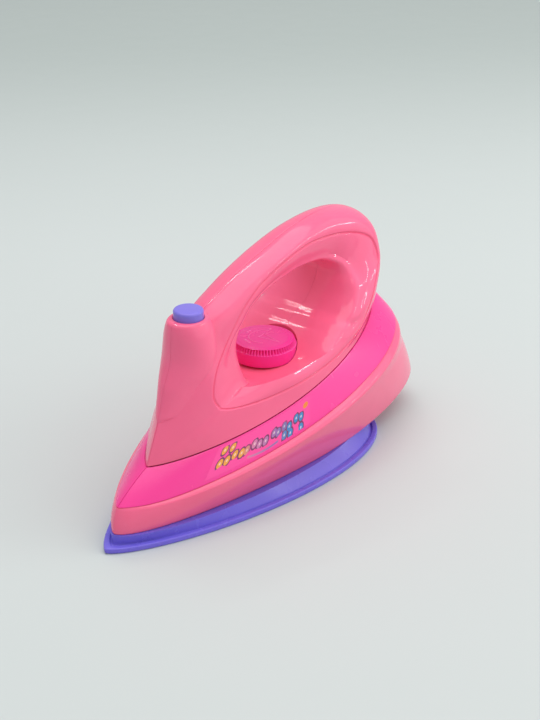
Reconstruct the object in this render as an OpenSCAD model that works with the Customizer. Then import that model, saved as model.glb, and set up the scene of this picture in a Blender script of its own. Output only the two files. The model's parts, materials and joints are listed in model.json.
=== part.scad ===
// Toy iron with a push button and a clicking dial. Sizes in millimetres.
// The nose points along +X, the ground is at zero height.

/* [Whole object] */
// Length from the nose of the sole to the stern
overall_l = 220; // [180:1:260]
// Height of the top of the loop
overall_h = 119.2; // [100:1:140]

/* [Sole] */
// Length of the sole
sole_l = 180.7; // [150:1:200]
// Width of the sole
sole_w = 83.8; // [70:0.5:95]
// Height of the sole up to the hull
sole_h = 7.4; // [6:0.1:10]
// Height of the rim round the sole
rim_h = 2.8; // [2:0.1:4]
// Thickness of the sole's floor
sole_floor = 2; // [1.5:0.1:3]

/* [Hull and deck] */
// Width of the hull at its bottom
hull_w = 66.4; // [50:0.2:70]
// Width of the hull at its shoulder
shoulder_w = 84.8; // [70:0.5:90]
// Width over the deck's lower edge
deck_w = 78.8; // [65:0.2:88]
// Wall of the hull and of the deck
wall = 2; // [1.6:0.1:3]
// Play between the hull, the deck and the handle
seam_gap = 0.1; // [0.05:0.01:0.2]

/* [Handle] */
// Width of the handle at the deck
handle_w = 65.2; // [50:0.2:75]
// Wall of the handle
handle_wall = 2.4; // [2:0.1:3]
// Width of the groove round the finger opening
groove_w = 1.5; // [0.6:0.1:2]
// Depth of the groove round the finger opening
groove_d = 0.9; // [0.3:0.1:1]

/* [Button] */
// Diameter of the button
button_d = 13.9; // [10:0.1:16]
// Height of the button above the spout
button_proud = 4.3; // [3:0.1:6]
// Travel of the button
button_travel = 2.5; // [1.5:0.1:3]
// Play round the button
button_play = 0.1; // [0.05:0.01:0.3]
// Diameter of the spring's wire
wire_d = 0.8; // [0.5:0.1:1]
// Curls of the spring
curls = 4; // [3:1:5]

/* [Dial] */
// Diameter of the dial
dial_d = 32; // [26:0.5:36]
// Height of the dial
dial_h = 9.3; // [8:0.1:12]
// Ribs round the dial
dial_ribs = 64; // [40:1:80]
// Diameter of the dial's stem
stem_d = 6; // [4:0.1:8]
// Play round the dial's stem
stem_play = 0.05; // [0.02:0.01:0.1]

/* [Battery and sound] */
// Diameter of a cell
cell_d = 14.2; // [10:0.1:14.5]
// Length of a cell
cell_l = 49.5; // [44:0.1:50.5]
// Diameter of the speaker
speaker_d = 34; // [28:0.5:36]

/* [Hidden] */

$fn = 48;
fit = 0.3;
over = 1;
land = 0.4;
nose_x = overall_l / 2;
far = overall_l;

// Outlines: start and end behind the nose, half width, widest place, power
plan_steps = 34;
nose_lead_share = 1.6;
hull_set_share = 0.0273;
deck_end_shares = [0.0403, 0.9523];
handle_end_shares = [0.1312, 0.9091];
sole_shares = [0.686, 0.735];
hull_shares = [0.69, 0.591];
deck_shares = [0.595, 0.757];
handle_shares = [0.507, 0.801];
hull_set = hull_set_share * overall_l;
deck_set = deck_end_shares[0] * overall_l;
deck_end = deck_end_shares[1] * overall_l;
handle_set = handle_end_shares[0] * overall_l;
handle_end = handle_end_shares[1] * overall_l;
sole_plan = [0, sole_l, sole_w / 2, sole_shares[0], sole_shares[1]];
deck_plan = [deck_set, deck_end, deck_w / 2, deck_shares[0], deck_shares[1]];
base_plan = [handle_set, handle_end, handle_w / 2, handle_shares[0], handle_shares[1]];

// Heights of the hull's bottom, the deck's edge and the handle's line
hull_z = sole_h + seam_gap;
stern_rise_share = 0.0994;
rise_start_share = 0.5;
deck_nose_share = 0.1644;
deck_slope_share = 0.179;
deck_turn_share = 0.0909;
deck_turn_r_share = 0.0364;
base_nose_share = 0.271;
base_tail_share = 0.5537;
base_bulge_share = 0.0134;
stern_rise = stern_rise_share * overall_h;
rise_start = rise_start_share * overall_l;
deck_turn = deck_turn_share * overall_l;
deck_turn_r = deck_turn_r_share * overall_l;

function mix(p, q, s) = p + (q - p) * s;
function lobe(u, widest, power) = (u <= 0 || u >= 1) ? 0 :
  pow(u / widest, power) * pow((1 - u) / (1 - widest), power * (1 - widest) / widest);
function spaced(i, n) = (1 - cos(180 * i / n)) / 2;
function along(o, u) = mix(o[0], o[1], u);
function out(o, u) = o[2] * lobe(u, o[3], o[4]);
function inset(o, t) = [o[0] + t * nose_lead_share, o[1] - t, o[2] - t, o[3], o[4]];
function bottom_z(a) = hull_z + stern_rise * pow(max(0, a - rise_start) / (overall_l - rise_start), 2);
function deck_z(a) = deck_nose_share * overall_h + deck_slope_share * (a - deck_turn
  + sqrt(pow(a - deck_turn, 2) + pow(deck_turn_r, 2))) / 2;
function base_z(a) = let(v = (a - handle_set) / (handle_end - handle_set))
  overall_h * (mix(base_nose_share, base_tail_share, v) + base_bulge_share * sin(180 * v));

// A ring round both sides of an outline, with a height for each step
function ring(o, heights) = concat(
  [for (i = [0:plan_steps]) let(u = spaced(i, plan_steps))
    [nose_x - along(o, u), out(o, u), heights[i]]],
  [for (i = [plan_steps - 1:-1:1]) let(u = spaced(i, plan_steps))
    [nose_x - along(o, u), -out(o, u), heights[i]]]);
function level(z) = [for (i = [0:plan_steps]) z];
function under_hull(o) = [for (i = [0:plan_steps]) bottom_z(along(o, spaced(i, plan_steps))) - seam_gap];

// Rings stacked from the bottom up and, for a bowl, down again inside
module stack(rings) {
  m = len(rings[0]);
  n = m / 2;
  last = (len(rings) - 1) * m;
  sides = [for (k = [0:len(rings) - 2], i = [0:m - 1], h = [0, 1]) let(j = (i + 1) % m)
    h == 0 ? [k * m + i, (k + 1) * m + i, (k + 1) * m + j] : [k * m + i, (k + 1) * m + j, k * m + j]];
  lids = [for (i = [0:n - 1], h = [0, 1], top = [0, 1])
    let(a = i, b = i + 1, c = m - i - 1, d = (m - i) % m, p = top * last,
      f = h == 0 ? [a, b, c] : [a, c, d])
    if (f[0] != f[1] && f[1] != f[2] && f[0] != f[2])
      top == 0 ? [f[0], f[1], f[2]] : [p + f[2], p + f[1], p + f[0]]];
  polyhedron(points = [for (r = rings) each r], faces = concat(sides, lids), convexity = 8);
}

// Sections in a row; closed rows join up, open rows get lids
module row(sections, closed) {
  m = len(sections[0]);
  n = len(sections);
  last = (n - 1) * m;
  sides = [for (k = [0:closed ? n - 1 : n - 2], i = [0:m - 1], h = [0, 1])
    let(j = (i + 1) % m, q = (k + 1) % n)
    h == 0 ? [k * m + i, q * m + i, q * m + j] : [k * m + i, q * m + j, k * m + j]];
  lids = closed ? [] : [[for (i = [0:m - 1]) i], [for (i = [m - 1:-1:0]) last + i]];
  polyhedron(points = [for (s = sections) each s], faces = concat(sides, lids), convexity = 8);
}

// A tube along a line of points
function unit(v) = v / norm(v);
module tube(line, radius, sides) {
  n = len(line);
  row([for (i = [0:n - 1]) let(
      t = unit(line[min(i + 1, n - 1)] - line[max(i - 1, 0)]),
      s = unit(abs(t[2]) > abs(t[0]) + abs(t[1]) ? cross(t, [0, 1, 0]) : cross(t, [0, 0, 1])),
      w = cross(s, t))
    [for (k = [0:sides - 1]) line[i] + radius * (cos(360 * k / sides) * s + sin(360 * k / sides) * w)]],
    false);
}
function bend(line, per) = [for (i = [0:len(line) - 2], k = [0:per - 1])
  let(t = k / per, p = line[i], q = line[i + 1], m = q - line[max(i - 1, 0)],
    e = line[min(i + 2, len(line) - 1)] - p)
  (2 * t * t * t - 3 * t * t + 1) * p + (t * t * t - 2 * t * t + t) * m / 2
  + (3 * t * t - 2 * t * t * t) * q + (t * t * t - t * t) * e / 2];

// A screw with a pan head, its point along +Z
module screw(head_d, head_h, shank_d, length) {
  difference() {
    union() {
      cylinder(d = head_d, h = head_h);
      cylinder(d = shank_d, h = length);
      translate([0, 0, length]) cylinder(d1 = shank_d, d2 = shank_d / 3, h = shank_d);
    }
    for (turn = [0, 90]) rotate([0, 0, turn])
      translate([0, 0, head_h / 4]) cube([head_d * 0.6, head_d / 7, head_h / 2 + over], center = true);
  }
}
screw_d = 2.6;
pilot_gap = 0.1;
pilot_d = screw_d + pilot_gap;
head_d = 5;
head_h = 1.8;
post_d = 6.4;

// Sole
bead = 0.8;
groove_in = 3;
sole_groove_d = 0.7;
plateau_over = 0.6;
plateau_end = 172;
plateau_plan = [hull_set - plateau_over, plateau_end, hull_w / 2 + plateau_over,
  hull_shares[0], hull_shares[1]];
door_l = 70;
door_w = 38;
door_t = 1.8;
door_a = 91;
door_play = 0.2;
frame_h = 4.4;
sole_land_w = 6;
hatch_l = 56;
hatch_w = 33;
grille_d = 2.4;
grille_step = 5;
speaker_a = 146;
sole_screw_a = [34, 160];
sole_screw_y = [6.6, 19];
module grille() {
  for (ring = [0:2], k = [0:max(0, ring * 6 - 1)])
    rotate([0, 0, ring == 0 ? 0 : 60 * k / ring])
      translate([ring * grille_step, 0, -over]) cylinder(d = grille_d, h = far, $fn = 16);
}
module at_sole_screws(k)
  for (side = [-1, 1]) translate([nose_x - sole_screw_a[k], side * sole_screw_y[k], 0]) children();
function floor_z(a) = bottom_z(a) + wall / 2;
module soleplate() color([0.48, 0.43, 0.85]) difference() {
  union() {
    stack([
      ring(inset(sole_plan, bead), level(0)), ring(inset(sole_plan, bead / 4), level(bead / 2)),
      ring(sole_plan, level(bead)), ring(sole_plan, level(rim_h - bead)),
      ring(inset(sole_plan, bead / 4), level(rim_h - bead / 3)), ring(inset(sole_plan, bead), level(rim_h)),
      ring(inset(sole_plan, groove_in - bead), level(rim_h)),
      ring(inset(sole_plan, groove_in - bead / 2), level(rim_h - sole_groove_d)),
      ring(inset(sole_plan, groove_in), level(rim_h - sole_groove_d)),
      ring(inset(sole_plan, groove_in + bead / 2), level(rim_h + bead / 4)),
      ring(plateau_plan, under_hull(plateau_plan)),
      ring(inset(plateau_plan, sole_land_w), under_hull(inset(plateau_plan, sole_land_w))),
      ring(inset(plateau_plan, sole_land_w), level(sole_h - wall)),
      ring(inset(plateau_plan, wall), level(sole_h - wall)),
      ring(inset(plateau_plan, wall - bead), level(sole_floor + bead)),
      ring(inset(plateau_plan, wall), level(sole_floor))]);
    translate([nose_x - door_a - door_l / 2 - wall, -door_w / 2 - wall, sole_floor / 2])
      cube([door_l + 2 * wall, door_w + 2 * wall, frame_h - sole_floor / 2]);
    for (k = [0, 1]) at_sole_screws(k) translate([0, 0, sole_floor / 2])
      cylinder(d = post_d + wall,
        h = bottom_z(sole_screw_a[k] - (post_d + wall) / 2) - seam_gap - sole_floor / 2);
  }
  translate([nose_x - door_a - door_l / 2 - door_play, -door_w / 2 - door_play, -over])
    cube([door_l + 2 * door_play, door_w + 2 * door_play, over + door_t + door_play + bead / 4]);
  translate([nose_x - door_a - hatch_l / 2, -hatch_w / 2, 0]) cube([hatch_l, hatch_w, frame_h + over]);
  translate([nose_x - door_a + (door_l + hatch_l) / 4, 0, 0]) cylinder(d = pilot_d, h = frame_h + over);
  for (k = [0, 1]) at_sole_screws(k) translate([0, 0, -over]) {
    cylinder(d = screw_d + fit, h = bottom_z(sole_screw_a[k]) + 2 * over);
    cylinder(d = head_d + 2 * fit, h = over + head_h + fit + wall);
  }
  translate([nose_x - speaker_a, 0, -over]) grille();
}

module battery_door() color([0.45, 0.4, 0.82]) difference() {
  translate([nose_x - door_a - door_l / 2, -door_w / 2, bead / 4]) cube([door_l, door_w, door_t]);
  translate([nose_x - door_a + (door_l + hatch_l) / 4, 0, 0]) {
    cylinder(d = screw_d + fit, h = far);
    cylinder(d = head_d + fit, h = bead / 4 + door_t / 2);
  }
  for (k = [-2:2]) translate([nose_x - door_a - door_l / 4 + k * 2 * bead, 0, bead / 4])
    cube([bead, door_w / 3, bead], center = true);
}

module door_screw() color([0.7, 0.7, 0.72])
  translate([nose_x - door_a + (door_l + hatch_l) / 4, 0, bead / 2])
    screw(head_d, door_t / 2 - fit, screw_d, frame_h - bead - screw_d);

module sole_screws() color([0.7, 0.7, 0.72]) for (k = [0, 1]) at_sole_screws(k)
  translate([0, 0, wall]) screw(head_d, head_h, screw_d, bottom_z(sole_screw_a[k]) + wall);

// Hull
shoulder_share = 0.9;
hull_bow_share = 0.074;
stern_power = 1.02;
stern_share = 0.742;
level_shares = [0, 0.1, 0.22, 0.36, 0.5, 0.64, 0.76, 0.84, 0.9, 0.95, 0.985, 1];
function hull_half(s) = s <= shoulder_share
  ? let(v = s / shoulder_share) mix(hull_w / 2, shoulder_w / 2, v * (1 + hull_bow_share * (1 - v)))
  : let(v = (s - shoulder_share) / (1 - shoulder_share)) mix(shoulder_w, deck_w, v * v) / 2;
function hull_plan(s) = [mix(hull_set, deck_set, s * s),
  overall_l - (overall_l - deck_end) * pow(min(1, s / stern_share), stern_power),
  hull_half(s), mix(hull_shares[0], deck_shares[0], s), mix(hull_shares[1], deck_shares[1], s * s)];
function hull_heights(s, lift) = [for (i = [0:plan_steps]) let(u = spaced(i, plan_steps))
  mix(bottom_z(along(hull_plan(0), u)) + lift, deck_z(along(deck_plan, u)), s)];
tray_a = door_a;
tray_wall = 1.4;
cell_z = door_t + bead / 4 + 2 * fit + cell_d / 2;
tray_top = cell_z + cell_d / 2 + 2 * fit + tray_wall;
tray_play = 0.4;
tray_lip_l = 2.8;
tray_lip_w = 1.2;
tray_l = hatch_l + 2 * tray_lip_l;
tray_w = hatch_w + 2 * tray_lip_w;
flange = 7;
body_screw_back = 30;
body_screw_a = [48, handle_end - body_screw_back];
body_screw_in = [3.2, 4];
function body_screw_y(k) = out(base_plan, (body_screw_a[k] - handle_set) / (handle_end - handle_set))
  - body_screw_in[k];
speaker_r = speaker_d / 2;
speaker_z = bottom_z(speaker_a + speaker_r) + wall + fit;
basket_h = 5.6;
magnet_r = 9;
magnet_h = 4.4;
board_z = speaker_z + basket_h + magnet_h + fit;
board_post_y = 21;
module at_body_screws(k, side)
  translate([nose_x - body_screw_a[k], side * body_screw_y(k), 0]) children();
module at_board_posts() for (side = [-1, 1])
  translate([nose_x - speaker_a, side * board_post_y, 0]) children();
module at_tray_screws() for (side = [-1, 1])
  translate([nose_x - tray_a + side * (tray_l / 2 + flange / 2), 0, 0]) children();
boss_h = 4;
module lower_shell() color([0.91, 0.49, 0.61]) difference() {
  union() {
    stack(concat(
      [for (s = level_shares) ring(hull_plan(s), hull_heights(s, 0))],
      [for (k = [len(level_shares) - 1:-1:0]) let(s = level_shares[k])
        if (s == 1 || s < shoulder_share)
          ring(inset(hull_plan(s), wall), hull_heights(s, s == 1 ? 0 : wall))]));
    for (k = [0, 1]) at_sole_screws(k)
      translate([0, 0, floor_z(sole_screw_a[k])]) cylinder(d = post_d, h = boss_h + wall / 2);
    at_tray_screws() translate([0, 0, hull_z + wall / 2]) cylinder(d = post_d, h = boss_h + wall / 2);
    at_board_posts() translate([0, 0, floor_z(speaker_a)])
      cylinder(d = post_d, h = board_z - seam_gap - floor_z(speaker_a));
    for (k = [0, 1], side = [-1, 1]) at_body_screws(k, side)
      translate([0, 0, floor_z(body_screw_a[k])]) cylinder(d = post_d + wall, h = boss_h);
    translate([nose_x - speaker_a, 0, hull_z + wall / 2]) difference() {
      cylinder(r = speaker_r, h = speaker_z - seam_gap - hull_z - wall / 2);
      translate([0, 0, -over]) cylinder(r = speaker_r - 2 * wall, h = far);
    }
  }
  translate([nose_x - tray_a - tray_l / 2 - tray_play, -tray_w / 2 - tray_play, 0])
    cube([tray_l + 2 * tray_play, tray_w + 2 * tray_play, tray_top]);
  for (k = [0, 1]) at_sole_screws(k) cylinder(d = pilot_d, h = floor_z(sole_screw_a[k]) + boss_h + wall);
  at_tray_screws() translate([0, 0, hull_z + wall]) cylinder(d = pilot_d, h = boss_h + over);
  at_board_posts() translate([0, 0, board_z - boss_h * 2]) cylinder(d = pilot_d, h = boss_h * 2 + over);
  for (k = [0, 1], side = [-1, 1]) at_body_screws(k, side) {
    cylinder(d = screw_d + fit, h = board_z);
    cylinder(d = head_d + 2 * fit, h = bottom_z(body_screw_a[k]) + wall + bead);
  }
  translate([nose_x - speaker_a, 0, 0]) grille();
}

// Deck: a band from the hull's edge up to the handle's line, with a ledge under the handle
ledge = 3.2;
skirt = 4;
deck_crown = 0.7;
deck_section_shares = [0.25, 0.5, 0.75];
function deck_point(o, u, z) = [nose_x - along(o, u), out(o, u) + seam_gap / 2, z];
function deck_section(u) = let(
    lo = deck_plan, hi = base_plan,
    zl = deck_z(along(lo, u)) + seam_gap, zh = base_z(along(hi, u)) - seam_gap,
    zi = base_z(along(inset(hi, ledge), u)) - seam_gap,
    p = deck_point(lo, u, zl), q = deck_point(hi, u, zh))
  concat([p],
    [for (s = deck_section_shares) mix(p, q, s) + [0, 0, deck_crown * 4 * s * (1 - s)]],
    [q, deck_point(inset(hi, ledge), u, zi), deck_point(inset(hi, ledge), u, zi - wall * 1.5),
      deck_point(inset(hi, wall), u, zi - wall * 1.5),
      deck_point(inset(lo, 2 * wall), u, zl - wall / 4),
      deck_point(inset(lo, 2 * wall), u, zl - skirt), deck_point(inset(lo, wall + fit), u, zl - skirt),
      deck_point(inset(lo, wall + fit), u, zl)]);
module deck_half(side) difference() {
  union() {
    mirror([0, side < 0 ? 1 : 0, 0])
      row([for (i = [plan_steps:-1:0]) deck_section(spaced(i, plan_steps))], false);
    for (k = [0, 1]) at_body_screws(k, side) {
      low = bottom_z(body_screw_a[k]) + boss_h + 2 * wall;
      translate([0, 0, low]) cylinder(d = post_d, h = post_top(k) - low);
    }
  }
  for (k = [0, 1]) at_body_screws(k, side) cylinder(d = pilot_d, h = post_top(k) - wall);
}
function post_top(k) = base_z(body_screw_a[k]) - wall * 0.6;
module deck_left() color([0.98, 0.35, 0.63]) deck_half(1);
module deck_right() color([0.98, 0.35, 0.63]) deck_half(-1);
module body_screws() color([0.7, 0.7, 0.72]) for (k = [0, 1], side = [-1, 1]) at_body_screws(k, side)
  translate([0, 0, bottom_z(body_screw_a[k])])
    screw(head_d, head_h, screw_d, post_top(k) - 2 * wall - bottom_z(body_screw_a[k]) - 2 * screw_d);

// Handle: sections round the finger opening. Each table runs from the prow up over the
// loop and back along the deck, in shares of the length, height and handle's half width.
loop_steps = 3;
corners = [0, 15];
spine_shares = [
  [0.131, 0.271, 0], [0.175, 0.461, 0], [0.206, 0.621, 0],
  [0.236, 0.702, 0], [0.3, 0.793, 0], [0.364, 0.846, 0],
  [0.432, 0.895, 0], [0.518, 0.941, 0], [0.614, 0.985, 0],
  [0.714, 1, 0], [0.804, 0.975, 0], [0.856, 0.911, 0],
  [0.871, 0.822, 0], [0.865, 0.713, 0], [0.851, 0.612, 0],
  [0.909, 0.554, 0], [0.862, 0.546, 0], [0.797, 0.529, 0],
  [0.717, 0.503, 0], [0.591, 0.461, 0], [0.477, 0.42, 0],
  [0.364, 0.369, 0], [0.264, 0.322, 0], [0.191, 0.289, 0]
];
groove_shares = [
  [0.266, 0.468, 0.528], [0.26, 0.513, 0.479], [0.277, 0.596, 0.436],
  [0.316, 0.682, 0.393], [0.359, 0.759, 0.368], [0.393, 0.809, 0.352],
  [0.445, 0.858, 0.337], [0.523, 0.906, 0.337], [0.611, 0.935, 0.337],
  [0.7, 0.929, 0.368], [0.768, 0.904, 0.445], [0.811, 0.86, 0.521],
  [0.823, 0.784, 0.598], [0.8, 0.732, 0.709], [0.763, 0.661, 0.819],
  [0.735, 0.603, 0.855], [0.703, 0.55, 0.893], [0.675, 0.527, 0.915],
  [0.647, 0.503, 0.921], [0.562, 0.476, 0.97], [0.459, 0.461, 0.966],
  [0.376, 0.443, 0.816], [0.309, 0.445, 0.681], [0.274, 0.454, 0.579]
];
rim_shares = [
  [0.338, 0.5, 0.515], [0.33, 0.553, 0.442], [0.327, 0.626, 0.38],
  [0.349, 0.684, 0.346], [0.382, 0.73, 0.322], [0.418, 0.784, 0.307],
  [0.473, 0.823, 0.291], [0.536, 0.846, 0.282], [0.605, 0.854, 0.276],
  [0.691, 0.838, 0.307], [0.727, 0.801, 0.43], [0.743, 0.751, 0.567],
  [0.735, 0.703, 0.718], [0.716, 0.652, 0.797], [0.687, 0.602, 0.859],
  [0.676, 0.574, 0.862], [0.655, 0.563, 0.886], [0.635, 0.548, 0.905],
  [0.615, 0.536, 0.915], [0.54, 0.52, 0.927], [0.451, 0.516, 0.902],
  [0.4, 0.505, 0.782], [0.363, 0.499, 0.645], [0.345, 0.5, 0.558]
];
eye_shares = [
  [0.386, 0.495, 0], [0.377, 0.554, 0], [0.373, 0.629, 0],
  [0.38, 0.688, 0], [0.4, 0.734, 0], [0.427, 0.767, 0],
  [0.482, 0.801, 0], [0.541, 0.817, 0], [0.6, 0.827, 0],
  [0.664, 0.817, 0], [0.698, 0.792, 0], [0.707, 0.755, 0],
  [0.7, 0.713, 0], [0.684, 0.666, 0], [0.659, 0.621, 0],
  [0.641, 0.604, 0], [0.623, 0.592, 0], [0.602, 0.571, 0],
  [0.582, 0.554, 0], [0.523, 0.49, 0], [0.468, 0.47, 0],
  [0.423, 0.472, 0], [0.398, 0.482, 0], [0.389, 0.489, 0]
];
round_shares = [0.25, 0.25, 0.3, 0.5, 1, 1, 1, 1, 1, 1, 1, 0.9, 0.8, 0.8, 0.7, 0.4,
  0.2, 0.1, 0.1, 0.1, 0.1, 0.1, 0.2, 0.3];
eye_middle_shares = [0.53, 0.64];

stations = len(spine_shares);
function pick(t, i) = t[(i + stations) % stations];
function corner(i) = len([for (c = corners) if (c == i % stations) c]) > 0;
function blend(t, s, sharp) = let(
    i = floor(s), v = s - i, p = pick(t, i), q = pick(t, i + 1),
    m = sharp && corner(i) ? q - p : (q - pick(t, i - 1)) / 2,
    e = sharp && corner(i + 1) ? q - p : (pick(t, i + 2) - p) / 2)
  (2 * v * v * v - 3 * v * v + 1) * p + (v * v * v - 2 * v * v + v) * m
  + (3 * v * v - 2 * v * v * v) * q + (v * v * v - v * v) * e;
function real(p) = [p[0] * overall_l, p[1] * overall_h, p[2] * handle_w / 2];
function spot(p) = [nose_x - p[0], p[2] + seam_gap / 2, p[1]];
flank_steps = 6;
crest_turns = [18, 36, 54, 72];
crest_power = 0.6;
bezel_bow = 0.5;
function in_base(s) = s > corners[1];
function spine(s) = let(p = real(blend(spine_shares, s, true)))
  !in_base(s) ? [p[0], p[1], land] : [p[0], base_z(p[0]),
    max(land, out(base_plan, (p[0] - handle_set) / (handle_end - handle_set)))];
function section(s) = let(
    o = spine(s), g = real(blend(groove_shares, s, false)),
    r = real(blend(rim_shares, s, false)), e = real(blend(eye_shares, s, false)),
    f = blend(round_shares, s, false),
    toward = unit([r[0] - g[0], r[1] - g[1], 0]),
    g2 = g + toward * groove_w / 2 - [0, 0, groove_d],
    g3 = g + toward * groove_w)
  [for (p = concat([[o[0], o[1], 0]],
    [for (k = [0:flank_steps]) let(v = k / flank_steps,
        a = mix(v, 1 - cos(90 * v), f), b = mix(v, sin(90 * v), f))
      [mix(o[0], g[0], a), mix(o[1], g[1], a), mix(o[2], g[2], b)]],
    [g2, g3, mix(g3, r, 1 / 2) + [0, 0, bezel_bow], r],
    [for (t = crest_turns) let(a = pow(sin(t), crest_power), b = pow(cos(t), crest_power))
      [mix(r[0], e[0], a), mix(r[1], e[1], a), r[2] * b]],
    [[e[0], e[1], 0]])) spot(p)];

// The hollow inside, one wall in from the skin and open to the deck below
hollow_steps = 2;
function hollow(s) = let(
    o = spine(s), g = real(blend(groove_shares, s, false)),
    r = real(blend(rim_shares, s, false)), e = real(blend(eye_shares, s, false)),
    middle = [eye_middle_shares[0] * overall_l, eye_middle_shares[1] * overall_h, 0],
    away = unit([e[0] - middle[0], e[1] - middle[1], 0]),
    w = handle_wall, low = in_base(s) || s < 1 / 2,
    o2 = low ? o - [0, over, 0] : o - away * w)
  [for (p = [
    [o2[0], o2[1], -over],
    [o2[0], o2[1], low ? max(o[2] - w, 0) : 2 * land],
    [mix(o2[0], g[0], 0.6), mix(o2[1], g[1], 0.6), mix(max(o[2] - w, 0), g[2] - w, 0.75)],
    [g[0], g[1], g[2] - w] + away * w / 4,
    [mix(r[0], e[0], 0.8), mix(r[1], e[1], 0.8), r[2] * 0.85 - w * 0.8] + away * w,
    [e[0], e[1], r[2] * 0.4] + away * w,
    [e[0], e[1], -over] + away * w]) spot(p)];

// The spout: half rings from the prow's edge round to the loop, front and back reach and width
spout_a_share = 0.27045;
spout_a = spout_a_share * overall_l;
spout_steps = 10;
spout_shares = [
  [0.43, 0.695, 0.15, 0.15, 0.5], [0.449, 0.672, 0.2, 0.28, 0.5],
  [0.471, 0.642, 0.26, 0.31, 0.5], [0.505, 0.603, 0.32, 0.33, 0.5],
  [0.559, 0.544, 0.39, 0.352, 0.5], [0.604, 0.47, 0.43, 0.385, 0.53],
  [0.654, 0.4, 0.433, 0.395, 0.56], [0.699, 0.377, 0.413, 0.38, 0.56],
  [0.744, 0.367, 0.382, 0.348, 0.54], [0.772, 0.357, 0.351, 0.314, 0.52],
  [0.791, 0.341, 0.316, 0.284, 0.5], [0.799, 0.321, 0.29, 0.265, 0.5],
  [0.802, 0.297, 0.264, 0.245, 0.5]
];
function spout_ring(k) = let(v = spout_shares[k], z = v[0] * overall_h,
    front = v[1] * handle_w / 2, back = v[2] * handle_w / 2, half = v[3] * handle_w / 2)
  concat(
    [for (j = [0:spout_steps]) let(t = 90 * j / spout_steps)
      [nose_x - spout_a + front * cos(t), half * pow(sin(t), 2 * v[4]) + seam_gap / 2, z]],
    [for (j = [1:spout_steps]) let(t = 90 * j / spout_steps)
      [nose_x - spout_a - back * sin(t), half * cos(t) + seam_gap / 2, z]]);
spout_top = spout_shares[len(spout_shares) - 1][0] * overall_h;

// Button works, from the top down
cap_r = button_d / 2;
top_wall = 2.2;
cap_flange_w = 0.9;
cap_flange_r = cap_r + cap_flange_w;
cap_flange_h = 1.6;
works_r = cap_flange_r + fit;
flange_top = spout_top - top_wall - button_play / 2;
spring_top = flange_top - cap_flange_h;
spring_l = 7.6;
guide_t = 1.8;
guide_top = spring_top - spring_l;
guide_rim = 1.6;
guide_r = works_r + guide_rim;
rod_r = 2;
rod_play = 0.06;
rod_end = 4.4;
rod_low = guide_top - guide_t - rod_end;
plunger_h = 1;
switch_h = 3.6;
switch_s = 6;
board_t = 1.6;
plate_top = rod_low - button_travel - 2 * button_play - plunger_h - switch_h;
plate_rim = 1;
plate_r = works_r + plate_rim;
module on_spout(z) translate([nose_x - spout_a, 0, z]) children();

// Dial seat and stem
dial_a_share = 0.5136;
dial_low_share = 0.479;
dial_a = dial_a_share * overall_l;
dial_low = dial_low_share * overall_h;
seat_play = 0.3;
seat_low = dial_low - seat_play;
seat_t = 2.4;
hub_r = 7;
washer_t = 0.8;
stem_low = seat_low - seat_t - seam_gap;
module on_dial(z) translate([nose_x - dial_a, 0, z]) children();

// Screws across the handle
join_a_shares = [0.4545, 0.7818, 0.325];
join_z_shares = [0.8515, 0.8305, 0.5201];
join_head = 6;
join_depth = 7;
join_r = 3.2;
module at_joins(side) for (k = [0:2])
  translate([nose_x - join_a_shares[k] * overall_l, 0, join_z_shares[k] * overall_h])
    rotate([side * -90, 0, 0]) children();
module handle_skin() {
  row([for (k = [0:stations * loop_steps - 1]) section(k / loop_steps)], true);
  row([for (k = [0:len(spout_shares) - 1]) spout_ring(k)], false);
}
module hollow_mesh() difference() {
  row([for (k = [0:stations * hollow_steps - 1]) hollow(k / hollow_steps)], true);
  at_joins(1) translate([0, 0, -over]) cylinder(r = join_r, h = handle_w, $fn = 16);
  on_dial(seat_low - seat_t) cylinder(r = dial_d / 2 + wall, h = dial_h, $fn = 32);
  on_spout(plate_top - board_t - wall) cylinder(r = plate_r + wall, h = far, $fn = 32);
}
module handle_half(side) difference() {
  resize([0, 0, 0]) mirror([0, side < 0 ? 1 : 0, 0]) difference() {
    handle_skin();
    hollow_mesh();
  }
  on_spout(guide_top) cylinder(r = works_r, h = flange_top + button_play / 2 - guide_top);
  on_spout(guide_top - guide_t - seam_gap) cylinder(r = guide_r + seam_gap, h = guide_t + 2 * seam_gap);
  on_spout(plate_top) cylinder(r = works_r, h = guide_top - guide_t - plate_top);
  on_spout(plate_top - board_t - seam_gap) cylinder(r = plate_r + seam_gap, h = board_t + 2 * seam_gap);
  on_spout(plate_top - far) cylinder(r = works_r, h = far - board_t);
  on_spout(guide_top) cylinder(r = cap_r + button_play, h = far);
  on_dial(seat_low) cylinder(r = dial_d / 2 + seat_play, h = dial_h + 2 * seat_play);
  on_dial(seat_low - far) cylinder(r = stem_d / 2 + stem_play, h = far + over);
  at_joins(side) {
    translate([0, 0, -over])
      cylinder(d = side > 0 ? pilot_d : screw_d + fit, h = side > 0 ? over + join_depth : far);
    if (side < 0) translate([0, 0, join_head]) cylinder(d = head_d + 2 * fit, h = far);
  }
}
module handle_left() color([0.98, 0.52, 0.66]) handle_half(1);
module handle_right() color([0.98, 0.52, 0.66]) handle_half(-1);

module handle_screws() color([0.7, 0.7, 0.72]) at_joins(1)
  translate([0, 0, -join_head - head_h])
    screw(head_d, head_h, screw_d, join_head + head_h + join_depth - screw_d - fit);

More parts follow.
